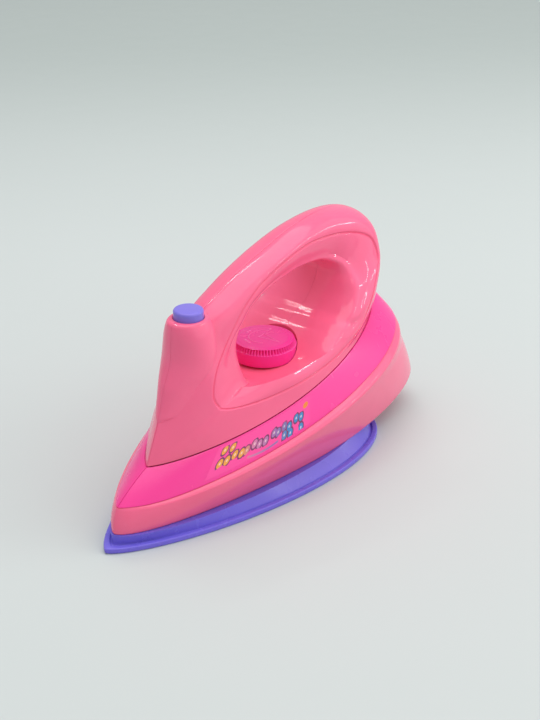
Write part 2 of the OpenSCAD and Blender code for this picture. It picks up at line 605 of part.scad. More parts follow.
// Button works
cap_top = spout_top + button_proud;
cap_round = 1.2;
cap_dome = 0.25;
round_steps = 6;
module push_button() color([0.58, 0.54, 0.93]) on_spout(0) rotate_extrude() polygon(concat(
  [[0, rod_low], [rod_r, rod_low], [rod_r, spring_top], [cap_flange_r, spring_top],
    [cap_flange_r, flange_top], [cap_r, flange_top]],
  [for (k = [0:round_steps]) let(t = 90 * k / round_steps)
    [cap_r - cap_round * (1 - cos(t)), cap_top - cap_dome - cap_round * (1 - sin(t))]],
  [[0, cap_top]]));

coil_space = 1.5;
coil_r = rod_r + coil_space;
coil_steps = 8;
coil_gap = 0.05;
coil_low = guide_top + wire_d / 2 + coil_gap;
coil_high = spring_top - wire_d / 2 - coil_gap;
coil = [for (k = [0:curls * coil_steps]) let(t = 360 * k / coil_steps)
  [coil_r * cos(t), coil_r * sin(t), mix(coil_low, coil_high, k / (curls * coil_steps))]];
function with_ends(line, length) = let(n = len(line) - 1)
  concat([line[0] - [0, length, 0]], line, [line[n] + [0, length, 0]]);
spring_line = with_ends(coil, wire_d);
coil_gaps = [for (i = [0:len(coil) - 1], j = [i + coil_steps / 2:1:len(coil) - 1])
  norm(coil[i] - coil[j]) - wire_d];
echo(least_spring_gap = min(coil_gaps));
module button_spring() color([0.75, 0.76, 0.78]) on_spout(0) tube(spring_line, wire_d / 2, 6);

module guide_plate() color([0.93, 0.93, 0.9]) on_spout(guide_top - guide_t) difference() {
  cylinder(r = guide_r, h = guide_t);
  translate([0, 0, -over]) cylinder(r = rod_r + rod_play, h = guide_t + 2 * over);
}
lead_d = 1.6;
lead_y = 5;
module switch_board() color([0.2, 0.5, 0.3]) on_spout(plate_top - board_t) difference() {
  cylinder(r = plate_r, h = board_t);
  for (side = [-1, 1]) translate([0, side * lead_y, -over])
    cylinder(d = lead_d, h = board_t + 2 * over, $fn = 16);
}
module press_switch() color([0.2, 0.2, 0.22]) on_spout(plate_top + coil_gap) {
  translate([-switch_s / 2, -switch_s / 2, 0]) cube([switch_s, switch_s, switch_h]);
  cylinder(r = rod_r * 0.8, h = switch_h + plunger_h);
}

// Dial with a ring of ribs, a hub and a stem
dial_r = dial_d / 2;
bevel_w = 1.3;
bevel_h = 2.8;
dial_dome = 0.5;
dial_wall = 2;
slot_d = 0.7;
slot_share = 0.5;
dial_top = dial_low + dial_h;
bevel_low = dial_top - dial_dome - bevel_h;
slot_w = slot_share * 2 * PI * dial_r / dial_ribs;
module dial() color([0.97, 0.3, 0.6]) on_dial(0) difference() {
  rotate_extrude() polygon([[0, stem_low], [stem_d / 2, stem_low], [stem_d / 2, dial_low + fit],
    [hub_r, dial_low + fit], [hub_r, dial_top - 2 * dial_wall],
    [dial_r - dial_wall, dial_top - 2 * dial_wall], [dial_r - dial_wall, dial_low], [dial_r, dial_low],
    [dial_r, bevel_low], [dial_r - bevel_w, bevel_low + bevel_h],
    [dial_r - 2 * bevel_w, dial_top - dial_dome / 2], [0, dial_top]]);
  for (k = [0:dial_ribs - 1]) rotate([0, 0, 360 * k / dial_ribs])
    translate([dial_r - slot_d, -slot_w / 2, bevel_low])
      rotate([0, -atan(bevel_w / bevel_h), 0]) cube([wall, slot_w, bevel_h]);
  translate([0, 0, stem_low - over]) cylinder(d = pilot_d, h = over + dial_h);
}
module dial_washer() color([0.75, 0.76, 0.78]) on_dial(stem_low - seam_gap - washer_t) difference() {
  cylinder(r = stem_d, h = washer_t);
  translate([0, 0, -over]) cylinder(d = screw_d + fit, h = washer_t + 2 * over);
}
module dial_screw() color([0.7, 0.7, 0.72]) on_dial(stem_low - 2 * seam_gap - washer_t - head_h)
  screw(head_d, head_h, screw_d, dial_h - screw_d);
leaf_t = 0.5;
leaf_w = 4;
leaf_h = 4;
leaf_gap = 0.4;
leaf_r = dial_r - dial_wall - leaf_gap - leaf_t;
module click_spring() color([0.75, 0.76, 0.78]) on_dial(seat_low + coil_gap) {
  translate([-leaf_r - leaf_t, -leaf_w / 2, 0]) cube([leaf_r - hub_r - leaf_t, leaf_w, leaf_t]);
  translate([-leaf_r - leaf_t / 2, -leaf_w / 2, 0]) cube([leaf_t, leaf_w, leaf_h]);
  translate([-leaf_r, 0, leaf_h]) rotate([90, 0, 0])
    cylinder(r = leaf_t, h = leaf_w, center = true, $fn = 16);
}

// Battery works
tab_z = hull_z + wall + boss_h + seam_gap;
tab_t = 1.6;
module battery_tray() color([0.92, 0.92, 0.9]) difference() {
  union() {
    translate([nose_x - tray_a - tray_l / 2, -tray_w / 2, frame_h + fit])
      cube([tray_l, tray_w, tray_top - frame_h - fit]);
    at_tray_screws() translate([0, 0, tab_z]) cylinder(d = post_d, h = tab_t);
    translate([nose_x - tray_a - tray_l / 2 - flange / 2, -post_d / 2, tab_z])
      cube([tray_l + flange, post_d, tab_t]);
  }
  translate([nose_x - tray_a - tray_l / 2 + tray_wall, -tray_w / 2 + tray_wall, 0])
    cube([tray_l - 2 * tray_wall, tray_w - 2 * tray_wall, tray_top - tray_wall]);
  at_tray_screws() cylinder(d = screw_d + fit, h = far);
}
module tray_screws() color([0.7, 0.7, 0.72]) at_tray_screws()
  translate([0, 0, tab_z + tab_t + head_h + seam_gap]) mirror([0, 0, 1])
    screw(head_d, head_h, screw_d, head_h + tab_t + screw_d / 2);
cell_y = cell_d / 2 + fit;
nub_d = 5.4;
nub_l = 1;
module at_cells() for (side = [-1, 1])
  translate([nose_x - tray_a, side * cell_y, cell_z]) rotate([0, 90 * side, 0]) children();
module battery_cells() color([0.3, 0.3, 0.35]) at_cells() {
  cylinder(d = cell_d, h = cell_l, center = true);
  cylinder(d = nub_d, h = cell_l / 2 + nub_l);
}
contact_t = 0.4;
contact_s = 9.6;
contact_x = tray_l / 2 - tray_wall - contact_t - seam_gap;
module contact_plates() color([0.8, 0.8, 0.8]) at_cells() for (end = [-1, 1])
  translate([-contact_s / 2, -contact_s / 2, end * (contact_x + contact_t / 2) - contact_t / 2])
    cube([contact_s, contact_s, contact_t]);
contact_curls = 3;
contact_r = 3.6;
contact_low = cell_l / 2 + wire_d / 2 + coil_gap;
contact_high = contact_x - wire_d / 2 - coil_gap;
contact_line = with_ends([for (k = [0:contact_curls * coil_steps]) let(t = 360 * k / coil_steps)
  [contact_r * cos(t), contact_r * sin(t),
    -mix(contact_low, contact_high, k / (contact_curls * coil_steps))]],
  wire_d);
module contact_springs() color([0.75, 0.76, 0.78]) at_cells() tube(contact_line, wire_d / 2, 6);

// Sound works
sound_l = 30;
sound_w = 50;
chip_s = 12;
chip_h = 1.6;
module sound_board() color([0.2, 0.5, 0.3]) difference() {
  translate([nose_x - speaker_a - sound_l / 2, -sound_w / 2, board_z]) cube([sound_l, sound_w, board_t]);
  at_board_posts() cylinder(d = screw_d + fit, h = far);
}
module sound_chip() color([0.12, 0.12, 0.14])
  translate([nose_x - speaker_a - chip_s / 2, -chip_s / 2, board_z + board_t + coil_gap])
    cube([chip_s, chip_s, chip_h]);
module board_screws() color([0.7, 0.7, 0.72]) at_board_posts()
  translate([0, 0, board_z + board_t + head_h + seam_gap]) mirror([0, 0, 1])
    screw(head_d, head_h, screw_d, head_h + board_t + screw_d);
cone_t = 0.5;
magnet_top = basket_h + magnet_h;
module at_speaker() translate([nose_x - speaker_a, 0, speaker_z]) children();
module speaker_frame() color([0.3, 0.3, 0.32]) at_speaker() rotate_extrude() polygon([
  [speaker_r - wall, 0], [speaker_r, 0], [speaker_r, cone_t * 2], [magnet_r + cone_t, basket_h],
  [magnet_r, basket_h], [magnet_r, magnet_top], [0, magnet_top], [0, basket_h - 2 * cone_t],
  [magnet_r - cone_t, basket_h - 2 * cone_t], [speaker_r - wall, cone_t]]);
module speaker_cone() color([0.15, 0.15, 0.16]) at_speaker() rotate_extrude() polygon([
  [speaker_r - wall - fit, 0], [magnet_r - 3 * cone_t, basket_h - 4 * cone_t], [0, basket_h - 4 * cone_t],
  [0, basket_h - 5 * cone_t], [magnet_r - 4 * cone_t, basket_h - 5 * cone_t],
  [speaker_r - wall - fit - cone_t, 0]]);

// Leads: from a low place to a high one, with shares of the way along, across and up
wire_r = 0.6;
lead_gap = 0.1;
board_top = board_z + board_t + wire_r;
board_edge = speaker_a - sound_l / 2;
battery_ends = [[tray_a + tray_l / 2 - wall, lead_y, tray_top + wire_r + lead_gap],
  [board_edge + wall, lead_y, board_top]];
speaker_ends = [[speaker_a + magnet_r + wire_r + lead_gap, 0, speaker_z + magnet_top - magnet_h / 2],
  [speaker_a + sound_l / 2 - wall, 2 * lead_y, board_top]];
switch_ends = [[board_edge + wall, 3 * lead_y, board_top],
  [spout_a, lead_y, plate_top - board_t - wire_r - lead_gap]];
battery_shares = [[0, 0, 0], [0.15, 0, 1.4], [0.6, 0, 1.8], [0.95, 0, 1.3], [1, 0, 1]];
speaker_shares = [[0, 0.2, 0], [2.3, 0.3, 0.05], [2.7, 0.6, 0.9], [1.9, 1, 1.5], [1, 1, 1]];
switch_shares = [[0, 0, 0], [0.05, 0, 0.07], [0.3, 0.2, 0.16], [0.67, 0.6, 0.26], [0.91, 1, 0.39],
  [1, 1, 0.72], [1, 1, 1]];
function lead_line(ends, shares) = [for (s = shares) [for (k = [0:2]) mix(ends[0][k], ends[1][k], s[k])]];
module leads(line, gap) for (side = [-1, 1])
  tube(bend([for (p = line) [nose_x - p[0], side * (p[1] + gap), p[2]]], 4), wire_r, 6);
module battery_wires() color([0.8, 0.15, 0.15]) leads(lead_line(battery_ends, battery_shares), 0);
module speaker_wires() color([0.15, 0.15, 0.15]) leads(lead_line(speaker_ends, speaker_shares), 0);
module switch_wires() color([0.9, 0.8, 0.2]) leads(lead_line(switch_ends, switch_shares), 0);

soleplate();
battery_door();
door_screw();
sole_screws();
lower_shell();
deck_left();
deck_right();
body_screws();
handle_left();
handle_right();
handle_screws();
push_button();
button_spring();
guide_plate();
switch_board();
press_switch();
dial();
dial_washer();
dial_screw();
click_spring();
battery_tray();
tray_screws();
battery_cells();
contact_springs();
contact_plates();
sound_board();
sound_chip();
board_screws();
speaker_frame();
speaker_cone();
battery_wires();
speaker_wires();
switch_wires();
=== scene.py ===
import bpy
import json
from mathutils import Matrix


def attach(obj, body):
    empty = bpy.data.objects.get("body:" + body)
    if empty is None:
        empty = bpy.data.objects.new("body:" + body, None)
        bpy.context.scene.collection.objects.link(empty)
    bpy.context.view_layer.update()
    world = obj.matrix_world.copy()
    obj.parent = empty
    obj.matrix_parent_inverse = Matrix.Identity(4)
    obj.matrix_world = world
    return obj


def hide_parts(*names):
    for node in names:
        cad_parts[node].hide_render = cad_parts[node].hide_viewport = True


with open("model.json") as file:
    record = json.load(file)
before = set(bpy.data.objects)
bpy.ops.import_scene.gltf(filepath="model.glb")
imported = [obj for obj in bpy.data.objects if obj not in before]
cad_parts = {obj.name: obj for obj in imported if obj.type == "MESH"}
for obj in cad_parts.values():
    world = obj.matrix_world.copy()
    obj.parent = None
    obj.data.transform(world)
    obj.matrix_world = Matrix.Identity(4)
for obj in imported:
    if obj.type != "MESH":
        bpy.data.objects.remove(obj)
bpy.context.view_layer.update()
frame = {"nodes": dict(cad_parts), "record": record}

import json
from math import cos, floor, pi, radians, sin, sqrt

import bmesh
import bpy
from mathutils import Vector

# Toy iron. Lengths are millimetres until a mesh is written, and the places are those
# of the frame: the nose points along +X, the ground is at zero height.
MM = 0.001
NOSE_X = 110
LENGTH = 220
HEIGHT = 119.2

# Camera and studio
CAMERA_AT = Vector((0.4414, 0.3611, 0.3350))
CAMERA_LOOK = Vector((-0.69945, -0.56237, -0.44103))
LENS = 65
SENSOR = 36
CLIP = (0.01, 50)
LAMP_AIM = (0, 0, 0.05)
LAMP_COLOUR = (1, 0.995, 0.985)
# name, place, width and height in metres, watts
LAMPS = (
    ("ceiling", (-0.3, 0, 2.2), (2.5, 2.5), 36),
    ("left_box", (-0.75, 1.5, 0.95), (3, 1.9), 13),
    ("left_strip", (-1.1, 1.25, 0.75), (0.9, 0.035), 2.8),
    ("back_strip", (-0.6, -1.2, 1.85), (0.6, 0.035), 2.0))
WORLD_STRENGTH = 0.7
FLOOR_HALF = 4
# Distances over which the floor is painted darker toward the back
FLOOR_SHADE_FADE = (0.3, 1.4)


def place_camera():
    data = bpy.data.cameras.new("camera")
    data.lens = LENS
    data.sensor_width = SENSOR
    data.clip_start, data.clip_end = CLIP
    camera = bpy.data.objects.new("camera", data)
    camera.location = CAMERA_AT
    camera.rotation_euler = CAMERA_LOOK.to_track_quat("-Z", "Y").to_euler()
    bpy.context.scene.collection.objects.link(camera)
    bpy.context.scene.camera = camera


def softbox(name, at, size, power):
    data = bpy.data.lights.new(name, "AREA")
    data.shape = "RECTANGLE"
    data.size, data.size_y = size
    data.energy = power
    data.color = LAMP_COLOUR
    lamp = bpy.data.objects.new(name, data)
    lamp.location = at
    lamp.rotation_euler = (Vector(LAMP_AIM) - Vector(at)).to_track_quat("-Z", "Y").to_euler()
    bpy.context.scene.collection.objects.link(lamp)


# Material nodes
# Pointiness ranges for a painted highlight on convex edges and painted shade in grooves and hollows
EDGE_HIGHLIGHT_RANGE = (0.52, 0.58)
CREASE_SHADE_RANGE = (0.40, 0.48)
PLASTIC = {
    "IOR": 1.5, "Specular IOR Level": 0.36, "Subsurface Weight": 0.08,
    "Subsurface Radius": (1.0, 0.5, 0.5), "Subsurface Scale": 0.002}


class Nodes:
    """A material's node tree, with short calls for the nodes that are used here."""

    def __init__(self, name):
        self.material = bpy.data.materials.new(name)
        self.material.use_nodes = True
        self.tree = self.material.node_tree
        self.shader = self.tree.nodes["Principled BSDF"]
        self.place = self.add("ShaderNodeTexCoord").outputs["Object"]

    def add(self, kind, **settings):
        node = self.tree.nodes.new(kind)
        for key, value in settings.items():
            setattr(node, key, value)
        return node

    def link(self, source, socket):
        self.tree.links.new(source, socket)

    def put(self, socket, value):
        if hasattr(value, "is_linked"):
            self.link(value, socket)
        else:
            socket.default_value = value

    def noise(self, scale, detail=2.0, stretch=(1, 1, 1)):
        moved = self.add("ShaderNodeMapping")
        moved.inputs["Scale"].default_value = stretch
        self.link(self.place, moved.inputs["Vector"])
        node = self.add("ShaderNodeTexNoise")
        node.inputs["Scale"].default_value = scale
        node.inputs["Detail"].default_value = detail
        self.link(moved.outputs["Vector"], node.inputs["Vector"])
        return node.outputs["Fac"]

    def ranged(self, source, low, high, to_low=0.0, to_high=1.0):
        node = self.add("ShaderNodeMapRange", interpolation_type="SMOOTHSTEP")
        self.link(source, node.inputs["Value"])
        for key, value in (("From Min", low), ("From Max", high), ("To Min", to_low), ("To Max", to_high)):
            node.inputs[key].default_value = value
        return node.outputs["Result"]

    def math(self, operation, a, b=0.0, c=0.0):
        node = self.add("ShaderNodeMath", operation=operation)
        for socket, value in zip(node.inputs, (a, b, c)):
            self.put(socket, value)
        return node.outputs["Value"]

    def mix(self, factor, a, b, blend="MIX"):
        node = self.add("ShaderNodeMix", data_type="RGBA", blend_type=blend)
        self.put(node.inputs["Factor"], factor)
        self.put(node.inputs["A"], a)
        self.put(node.inputs["B"], b)
        return node.outputs["Result"]

    def bump(self, height, strength, distance, under=None):
        node = self.add("ShaderNodeBump")
        node.inputs["Strength"].default_value = strength
        node.inputs["Distance"].default_value = distance
        self.link(height, node.inputs["Height"])
        if under:
            self.link(under, node.inputs["Normal"])
        return node.outputs["Normal"]

    def pointiness(self):
        return self.add("ShaderNodeNewGeometry").outputs["Pointiness"]

    # Painted highlight: a mask that is high on convex edges
    def edges(self):
        return self.ranged(self.pointiness(), *EDGE_HIGHLIGHT_RANGE)

    # Painted shade: a mask that is high in grooves and hollows
    def crease_shade(self):
        return self.ranged(self.pointiness(), *CREASE_SHADE_RANGE, 1.0, 0.0)


def linear(r, g, b):
    """A screen colour from 0 to 255 as the shader's linear colour."""
    def channel(v):
        v /= 255
        return v / 12.92 if v <= 0.04045 else ((v + 0.055) / 1.055) ** 2.4
    return (channel(r), channel(g), channel(b), 1)


def scaled(colour, factor):
    return tuple(c * factor for c in colour[:3]) + (1,)


def deepened(colour, power):
    return tuple(c ** power for c in colour[:3]) + (1,)


def moulded(name, colour, rough=0.08, wave=0.00012):
    """Glossy moulded plastic: faint clouding, smudged gloss, slow waves from the mould, fine scratches, a
    painted highlight on convex edges and painted shade in grooves and hollows.
    """
    n = Nodes(name)
    cloud = n.ranged(n.noise(28, 3), 0.35, 0.65)
    smudge = n.ranged(n.noise(70, 4), 0.45, 0.75)
    scratch = n.ranged(n.noise(260, 2, (1, 0.06, 0.2)), 0.7, 0.76)
    speck = n.ranged(n.noise(1500, 1), 0.7, 0.76)
    body = n.mix(cloud, colour, scaled(colour, 0.955))
    # Painted highlight: convex edges are coloured lighter
    body = n.mix(n.math("MULTIPLY", n.edges(), 0.12), body, scaled(colour, 1.12))
    body = n.mix(n.math("MULTIPLY", speck, 0.12), body, scaled(colour, 0.7))
    # Painted shade: grooves and hollows are coloured darker and deeper
    body = n.mix(n.math("MULTIPLY", n.crease_shade(), 0.8), body, deepened(colour, 1.6))
    n.link(body, n.shader.inputs["Base Color"])
    gloss = n.math("MULTIPLY_ADD", smudge, 0.07, rough)
    n.link(n.math("MULTIPLY_ADD", scratch, 0.08, gloss), n.shader.inputs["Roughness"])
    slow = n.bump(n.noise(38, 1), 0.6, wave)
    fine = n.bump(n.noise(900, 2), 0.25, 0.000006, slow)
    n.link(n.bump(scratch, 0.15, 0.00001, fine), n.shader.inputs["Normal"])
    for key, value in PLASTIC.items():
        n.shader.inputs[key].default_value = value
    return n.material


def metal(name, colour, rough, brush):
    """Steel or plated metal with fine drawn lines and dull spots."""
    n = Nodes(name)
    lines = n.noise(brush, 3, (1, 1, 0.05))
    spots = n.ranged(n.noise(400, 3), 0.5, 0.7)
    n.link(n.mix(spots, colour, scaled(colour, 0.75)), n.shader.inputs["Base Color"])
    gloss = n.math("MULTIPLY_ADD", lines, 0.12, rough)
    n.link(n.math("MULTIPLY_ADD", spots, 0.12, gloss), n.shader.inputs["Roughness"])
    n.link(n.bump(lines, 0.3, 0.00002), n.shader.inputs["Normal"])
    n.shader.inputs["Metallic"].default_value = 1.0
    return n.material


def matt(name, colour, rough, grain, depth=0.00003):
    """Board, paper and sleeve surfaces: grain in colour, gloss and relief."""
    n = Nodes(name)
    grains = n.noise(grain, 4)
    n.link(n.mix(n.ranged(grains, 0.35, 0.65), colour, scaled(colour, 0.8)), n.shader.inputs["Base Color"])
    n.link(n.math("MULTIPLY_ADD", grains, 0.15, rough), n.shader.inputs["Roughness"])
    n.link(n.bump(grains, 0.4, depth), n.shader.inputs["Normal"])
    return n.material


# Finishes, one for each slot of the record
FINISHES = {
    "purple_plastic": moulded("violet_button", linear(133, 119, 222), 0.2),
    "violet_plastic": moulded("violet_sole", linear(120, 106, 220), 0.26),
    "light_pink_plastic": moulded("light_pink", linear(255, 109, 149)),
    "hot_pink_plastic": moulded("hot_pink", linear(255, 67, 155), 0.25),
    "dial_pink_plastic": moulded("dial_pink", linear(246, 60, 158), 0.24),
    "white_plastic": moulded("white", linear(232, 232, 226), 0.3),
    "black_plastic": moulded("black", linear(34, 34, 38), 0.35),
    "green_board": matt("board", linear(34, 96, 58), 0.4, 500),
    "speaker_steel": metal("speaker_steel", linear(120, 122, 128), 0.35, 700),
    "speaker_paper": matt("speaker_paper", linear(40, 38, 38), 0.8, 900),
    "cell_jacket": matt("cell_jacket", linear(62, 66, 84), 0.25, 200, 0.00001),
    "spring_steel": metal("spring_steel", linear(186, 188, 192), 0.25, 900),
    "nickel_plate": metal("nickel_plate", linear(202, 200, 192), 0.2, 600),
    "screw_steel": metal("screw_steel", linear(160, 162, 166), 0.3, 800),
    "red_lead": matt("red_lead", linear(190, 36, 34), 0.35, 700),
    "black_lead": matt("black_lead", linear(30, 30, 32), 0.35, 700),
    "yellow_lead": matt("yellow_lead", linear(222, 186, 40), 0.35, 700),
}


def dress_frame():
    """Every node of the frame gets the finish of its slot."""
    for part in frame["record"]["subparts"]:
        mesh = frame["nodes"][part["node"]].data
        mesh.materials.clear()
        mesh.materials.append(FINISHES[part["material_slot"]])


# Meshes
MERGE = MM / 500


def mesh_piece(name, points, faces):
    mesh = bpy.data.meshes.new(name)
    mesh.from_pydata([[MM * c for c in p] for p in points], [], faces)
    piece = bpy.data.objects.new(name, mesh)
    bpy.context.scene.collection.objects.link(piece)
    work = bmesh.new()
    work.from_mesh(mesh)
    bmesh.ops.remove_doubles(work, verts=work.verts, dist=MERGE)
    bmesh.ops.recalc_face_normals(work, faces=work.faces)
    work.to_mesh(mesh)
    work.free()
    return piece


def sweep(name, sections, closed, lids=None):
    """Sections of equal count joined in a row. Open rows get lids."""
    m, n = len(sections[0]), len(sections)
    points = [p for section in sections for p in section]
    faces = []
    for k in range(n if closed else n - 1):
        q = (k + 1) % n
        for i in range(m):
            j = (i + 1) % m
            faces.append((k * m + i, q * m + i, q * m + j, k * m + j))
    if not closed:
        last = (n - 1) * m
        faces += lids(m, last) if lids else [tuple(range(m)), tuple(range(last + m - 1, last - 1, -1))]
    return mesh_piece(name, points, faces)


def strip_lids(m, last):
    """Lids of quads across a ring whose first half mirrors its second."""
    faces = []
    for first in (0, last):
        for i in range(m // 2):
            corners = [first + i, first + i + 1, first + m - i - 1, first + (m - i) % m]
            kept = list(dict.fromkeys(corners))
            if len(kept) > 2:
                faces.append(tuple(kept))
    return faces


def turned(name, profile, centre, sides, axis=2):
    """A profile of (radius, height) turned about an axis through the centre."""
    points, faces = [], []
    rows = []
    for r, h in profile:
        row = []
        for k in range(sides if r else 1):
            t = 2 * pi * k / sides
            p = [0.0, 0.0, 0.0]
            p[(axis + 1) % 3] = centre[(axis + 1) % 3] + r * cos(t)
            p[(axis + 2) % 3] = centre[(axis + 2) % 3] + r * sin(t)
            p[axis] = centre[axis] + h
            row.append(len(points))
            points.append(p)
        rows.append(row)
    for low, high in zip(rows, rows[1:]):
        for k in range(sides):
            j = (k + 1) % sides
            if len(low) == len(high) == 1:
                break
            if len(low) == 1:
                faces.append((low[0], high[k], high[j]))
            elif len(high) == 1:
                faces.append((low[k], low[j], high[0]))
            else:
                faces.append((low[k], low[j], high[j], high[k]))
    return mesh_piece(name, points, faces)


def rod(radius, low, high):
    """The profile of a plain round rod, for turned."""
    return [(0, low), (radius, low), (radius, high), (0, high)]


def block(name, low, high):
    corners = [[(low, high)[(i >> axis) & 1][axis] for axis in range(3)] for i in range(8)]
    sides = [(0, 1, 3, 2), (4, 6, 7, 5), (0, 4, 5, 1), (2, 3, 7, 6), (0, 2, 6, 4), (1, 5, 7, 3)]
    return mesh_piece(name, corners, sides)


def combine(piece, tool, operation):
    """Cuts the tool out of the piece or adds it, and removes the tool."""
    change = piece.modifiers.new("change", "BOOLEAN")
    change.operation = operation
    change.solver = "EXACT"
    change.object = tool
    graph = bpy.context.evaluated_depsgraph_get()
    mesh = bpy.data.meshes.new_from_object(piece.evaluated_get(graph))
    piece.modifiers.clear()
    piece.data = mesh
    bpy.data.objects.remove(tool)


def cut(piece, *tools):
    for tool in tools:
        combine(piece, tool, "DIFFERENCE")


def smooth(piece, angle=28):
    piece.data.shade_smooth()
    piece.data.set_sharp_from_angle(angle=radians(angle))


def finish(piece, body, slot, *nodes, material=None):
    piece.data.materials.clear()
    piece.data.materials.append(material or FINISHES[slot])
    if nodes:
        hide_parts(*nodes)
    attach(piece, body)


def mix(p, q, s):
    if isinstance(p, (int, float)):
        return p + (q - p) * s
    return [a + (b - a) * s for a, b in zip(p, q)]


def soften(points, cuts, steps=3):
    """Rounds corners of a closed outline. cuts gives the length taken off at each."""
    result = []
    n = len(points)
    for i, p in enumerate(points):
        length = cuts.get(i, 0)
        if not length:
            result.append(p)
            continue
        ends = []
        for q in (points[i - 1], points[(i + 1) % n]):
            gap = sqrt(sum((a - b) ** 2 for a, b in zip(p, q)))
            ends.append(mix(p, q, min(length / gap, 0.45) if gap > 1e-9 else 0))
        for k in range(steps + 1):
            t = k / steps
            result.append(mix(mix(ends[0], p, t), mix(p, ends[1], t), t))
    return result


# Outlines seen from above: start and end behind the nose, half width, widest place, power
STEPS = 110
SOLE = (0, 180.7, 41.9, 0.686, 0.735)
DECK = (0.0403 * LENGTH, 0.9523 * LENGTH, 39.4, 0.595, 0.757)
BASE = (0.1312 * LENGTH, 0.9091 * LENGTH, 32.6, 0.507, 0.801)
NOSE_LEAD = 1.6
HULL = (0.0273 * LENGTH, LENGTH, 33.2, 0.69, 0.591)
SHOULDER_HALF = 42.4
SEAM = 0.1
WALL = 2


def cubic(p, m, q, e, v):
    """A curve from p to q that leaves at slope m and arrives at slope e."""
    return ((2 * v ** 3 - 3 * v * v + 1) * p + (v ** 3 - 2 * v * v + v) * m
            + (3 * v * v - 2 * v ** 3) * q + (v ** 3 - v * v) * e)


def lobe(u, widest, power):
    if u <= 0 or u >= 1:
        return 0
    return (u / widest) ** power * ((1 - u) / (1 - widest)) ** (power * (1 - widest) / widest)


def spaced(i):
    return (1 - cos(pi * i / STEPS)) / 2


def along(o, u):
    return mix(o[0], o[1], u)


def out(o, u):
    return o[2] * lobe(u, o[3], o[4])


def inset(o, t):
    return (o[0] + NOSE_LEAD * t, o[1] - t, o[2] - t, o[3], o[4])


def ring(o, height):
    """Both sides of an outline. height is a number or a function of the share along it."""
    left = []
    for i in range(STEPS + 1):
        u = spaced(i)
        z = height(u) if callable(height) else height
        left.append([NOSE_X - along(o, u), out(o, u), z])
    return left + [[x, -y, z] for x, y, z in left[-2:0:-1]]


SOLE_H = 7.4
HULL_Z = SOLE_H + SEAM
STERN_RISE = 0.0994 * HEIGHT
RISE_START = 0.5 * LENGTH
DECK_TURN, DECK_BEND = 0.0909 * LENGTH, 0.0364 * LENGTH
DECK_LOW, DECK_SLOPE = 0.1644 * HEIGHT, 0.179
BASE_LOW, BASE_HIGH, BASE_CROWN = 0.271, 0.5537, 0.0134


def bottom_z(a):
    return HULL_Z + STERN_RISE * (max(0, a - RISE_START) / (LENGTH - RISE_START)) ** 2


def deck_z(a):
    return DECK_LOW + DECK_SLOPE * (a - DECK_TURN + sqrt((a - DECK_TURN) ** 2 + DECK_BEND ** 2)) / 2


def base_z(a):
    s = (a - BASE[0]) / (BASE[1] - BASE[0])
    return HEIGHT * (mix(BASE_LOW, BASE_HIGH, s) + BASE_CROWN * sin(pi * s))


def arc(centre, radii, start, end, steps):
    """Points of (inset, height) along an elliptic arc, in degrees."""
    points = []
    for k in range(steps + 1):
        t = radians(mix(start, end, k / steps))
        points.append((centre[0] + radii[0] * cos(t), centre[1] + radii[1] * sin(t)))
    return points


# Sole
RIM_H = 2.8
BEAD = 0.8
RIM_FLAT = (1.5, 2.2)
RIM_GROOVE_AT, RIM_GROOVE = 2.8, (0.5, 0.7)
LAND_W = 6
DOOR_A, DOOR_L, DOOR_W = 91, 70, 38
SPEAKER_A = 146
GRILLE_STEP = 5
SCREW_A, SCREW_Y = (34, 160), (6.6, 19)
POST_R = 4.2
POST_GAP = 0.05
HEAD_R = 2.8
HEAD_SEAT = 4.1
SHANK_R = 1.45
PILOT_R = 1.35
GRILLE_RINGS = 3
GRILLE_R = 1.2
PLATEAU_OUT, PLATEAU_END = 0.6, 172
FOOT_IN, FOOT_RISE = 3.4, 0.1
FOOT_SHARES = (0.1, 0.3, 0.5, 0.7, 0.85, 0.95, 1)
DOOR_PLAY, DOOR_SEAT = 0.2, 1.95


def grille(name, bottom, top):
    holes = []
    for ring_index in range(GRILLE_RINGS):
        count = max(1, 6 * ring_index)
        for k in range(count):
            t = 2 * pi * k / count
            r = ring_index * GRILLE_STEP
            at = (NOSE_X - SPEAKER_A + r * cos(t), r * sin(t), 0)
            holes.append(turned(name, rod(GRILLE_R, bottom, top), at, 24))
    return join(holes)


def join(pieces):
    work = bmesh.new()
    for piece in pieces:
        work.from_mesh(piece.data)
    work.to_mesh(pieces[0].data)
    work.free()
    for piece in pieces[1:]:
        bpy.data.objects.remove(piece)
    return pieces[0]


def at_sole_screws():
    return [(NOSE_X - a, side * y, 0) for a, y in zip(SCREW_A, SCREW_Y) for side in (-1, 1)]


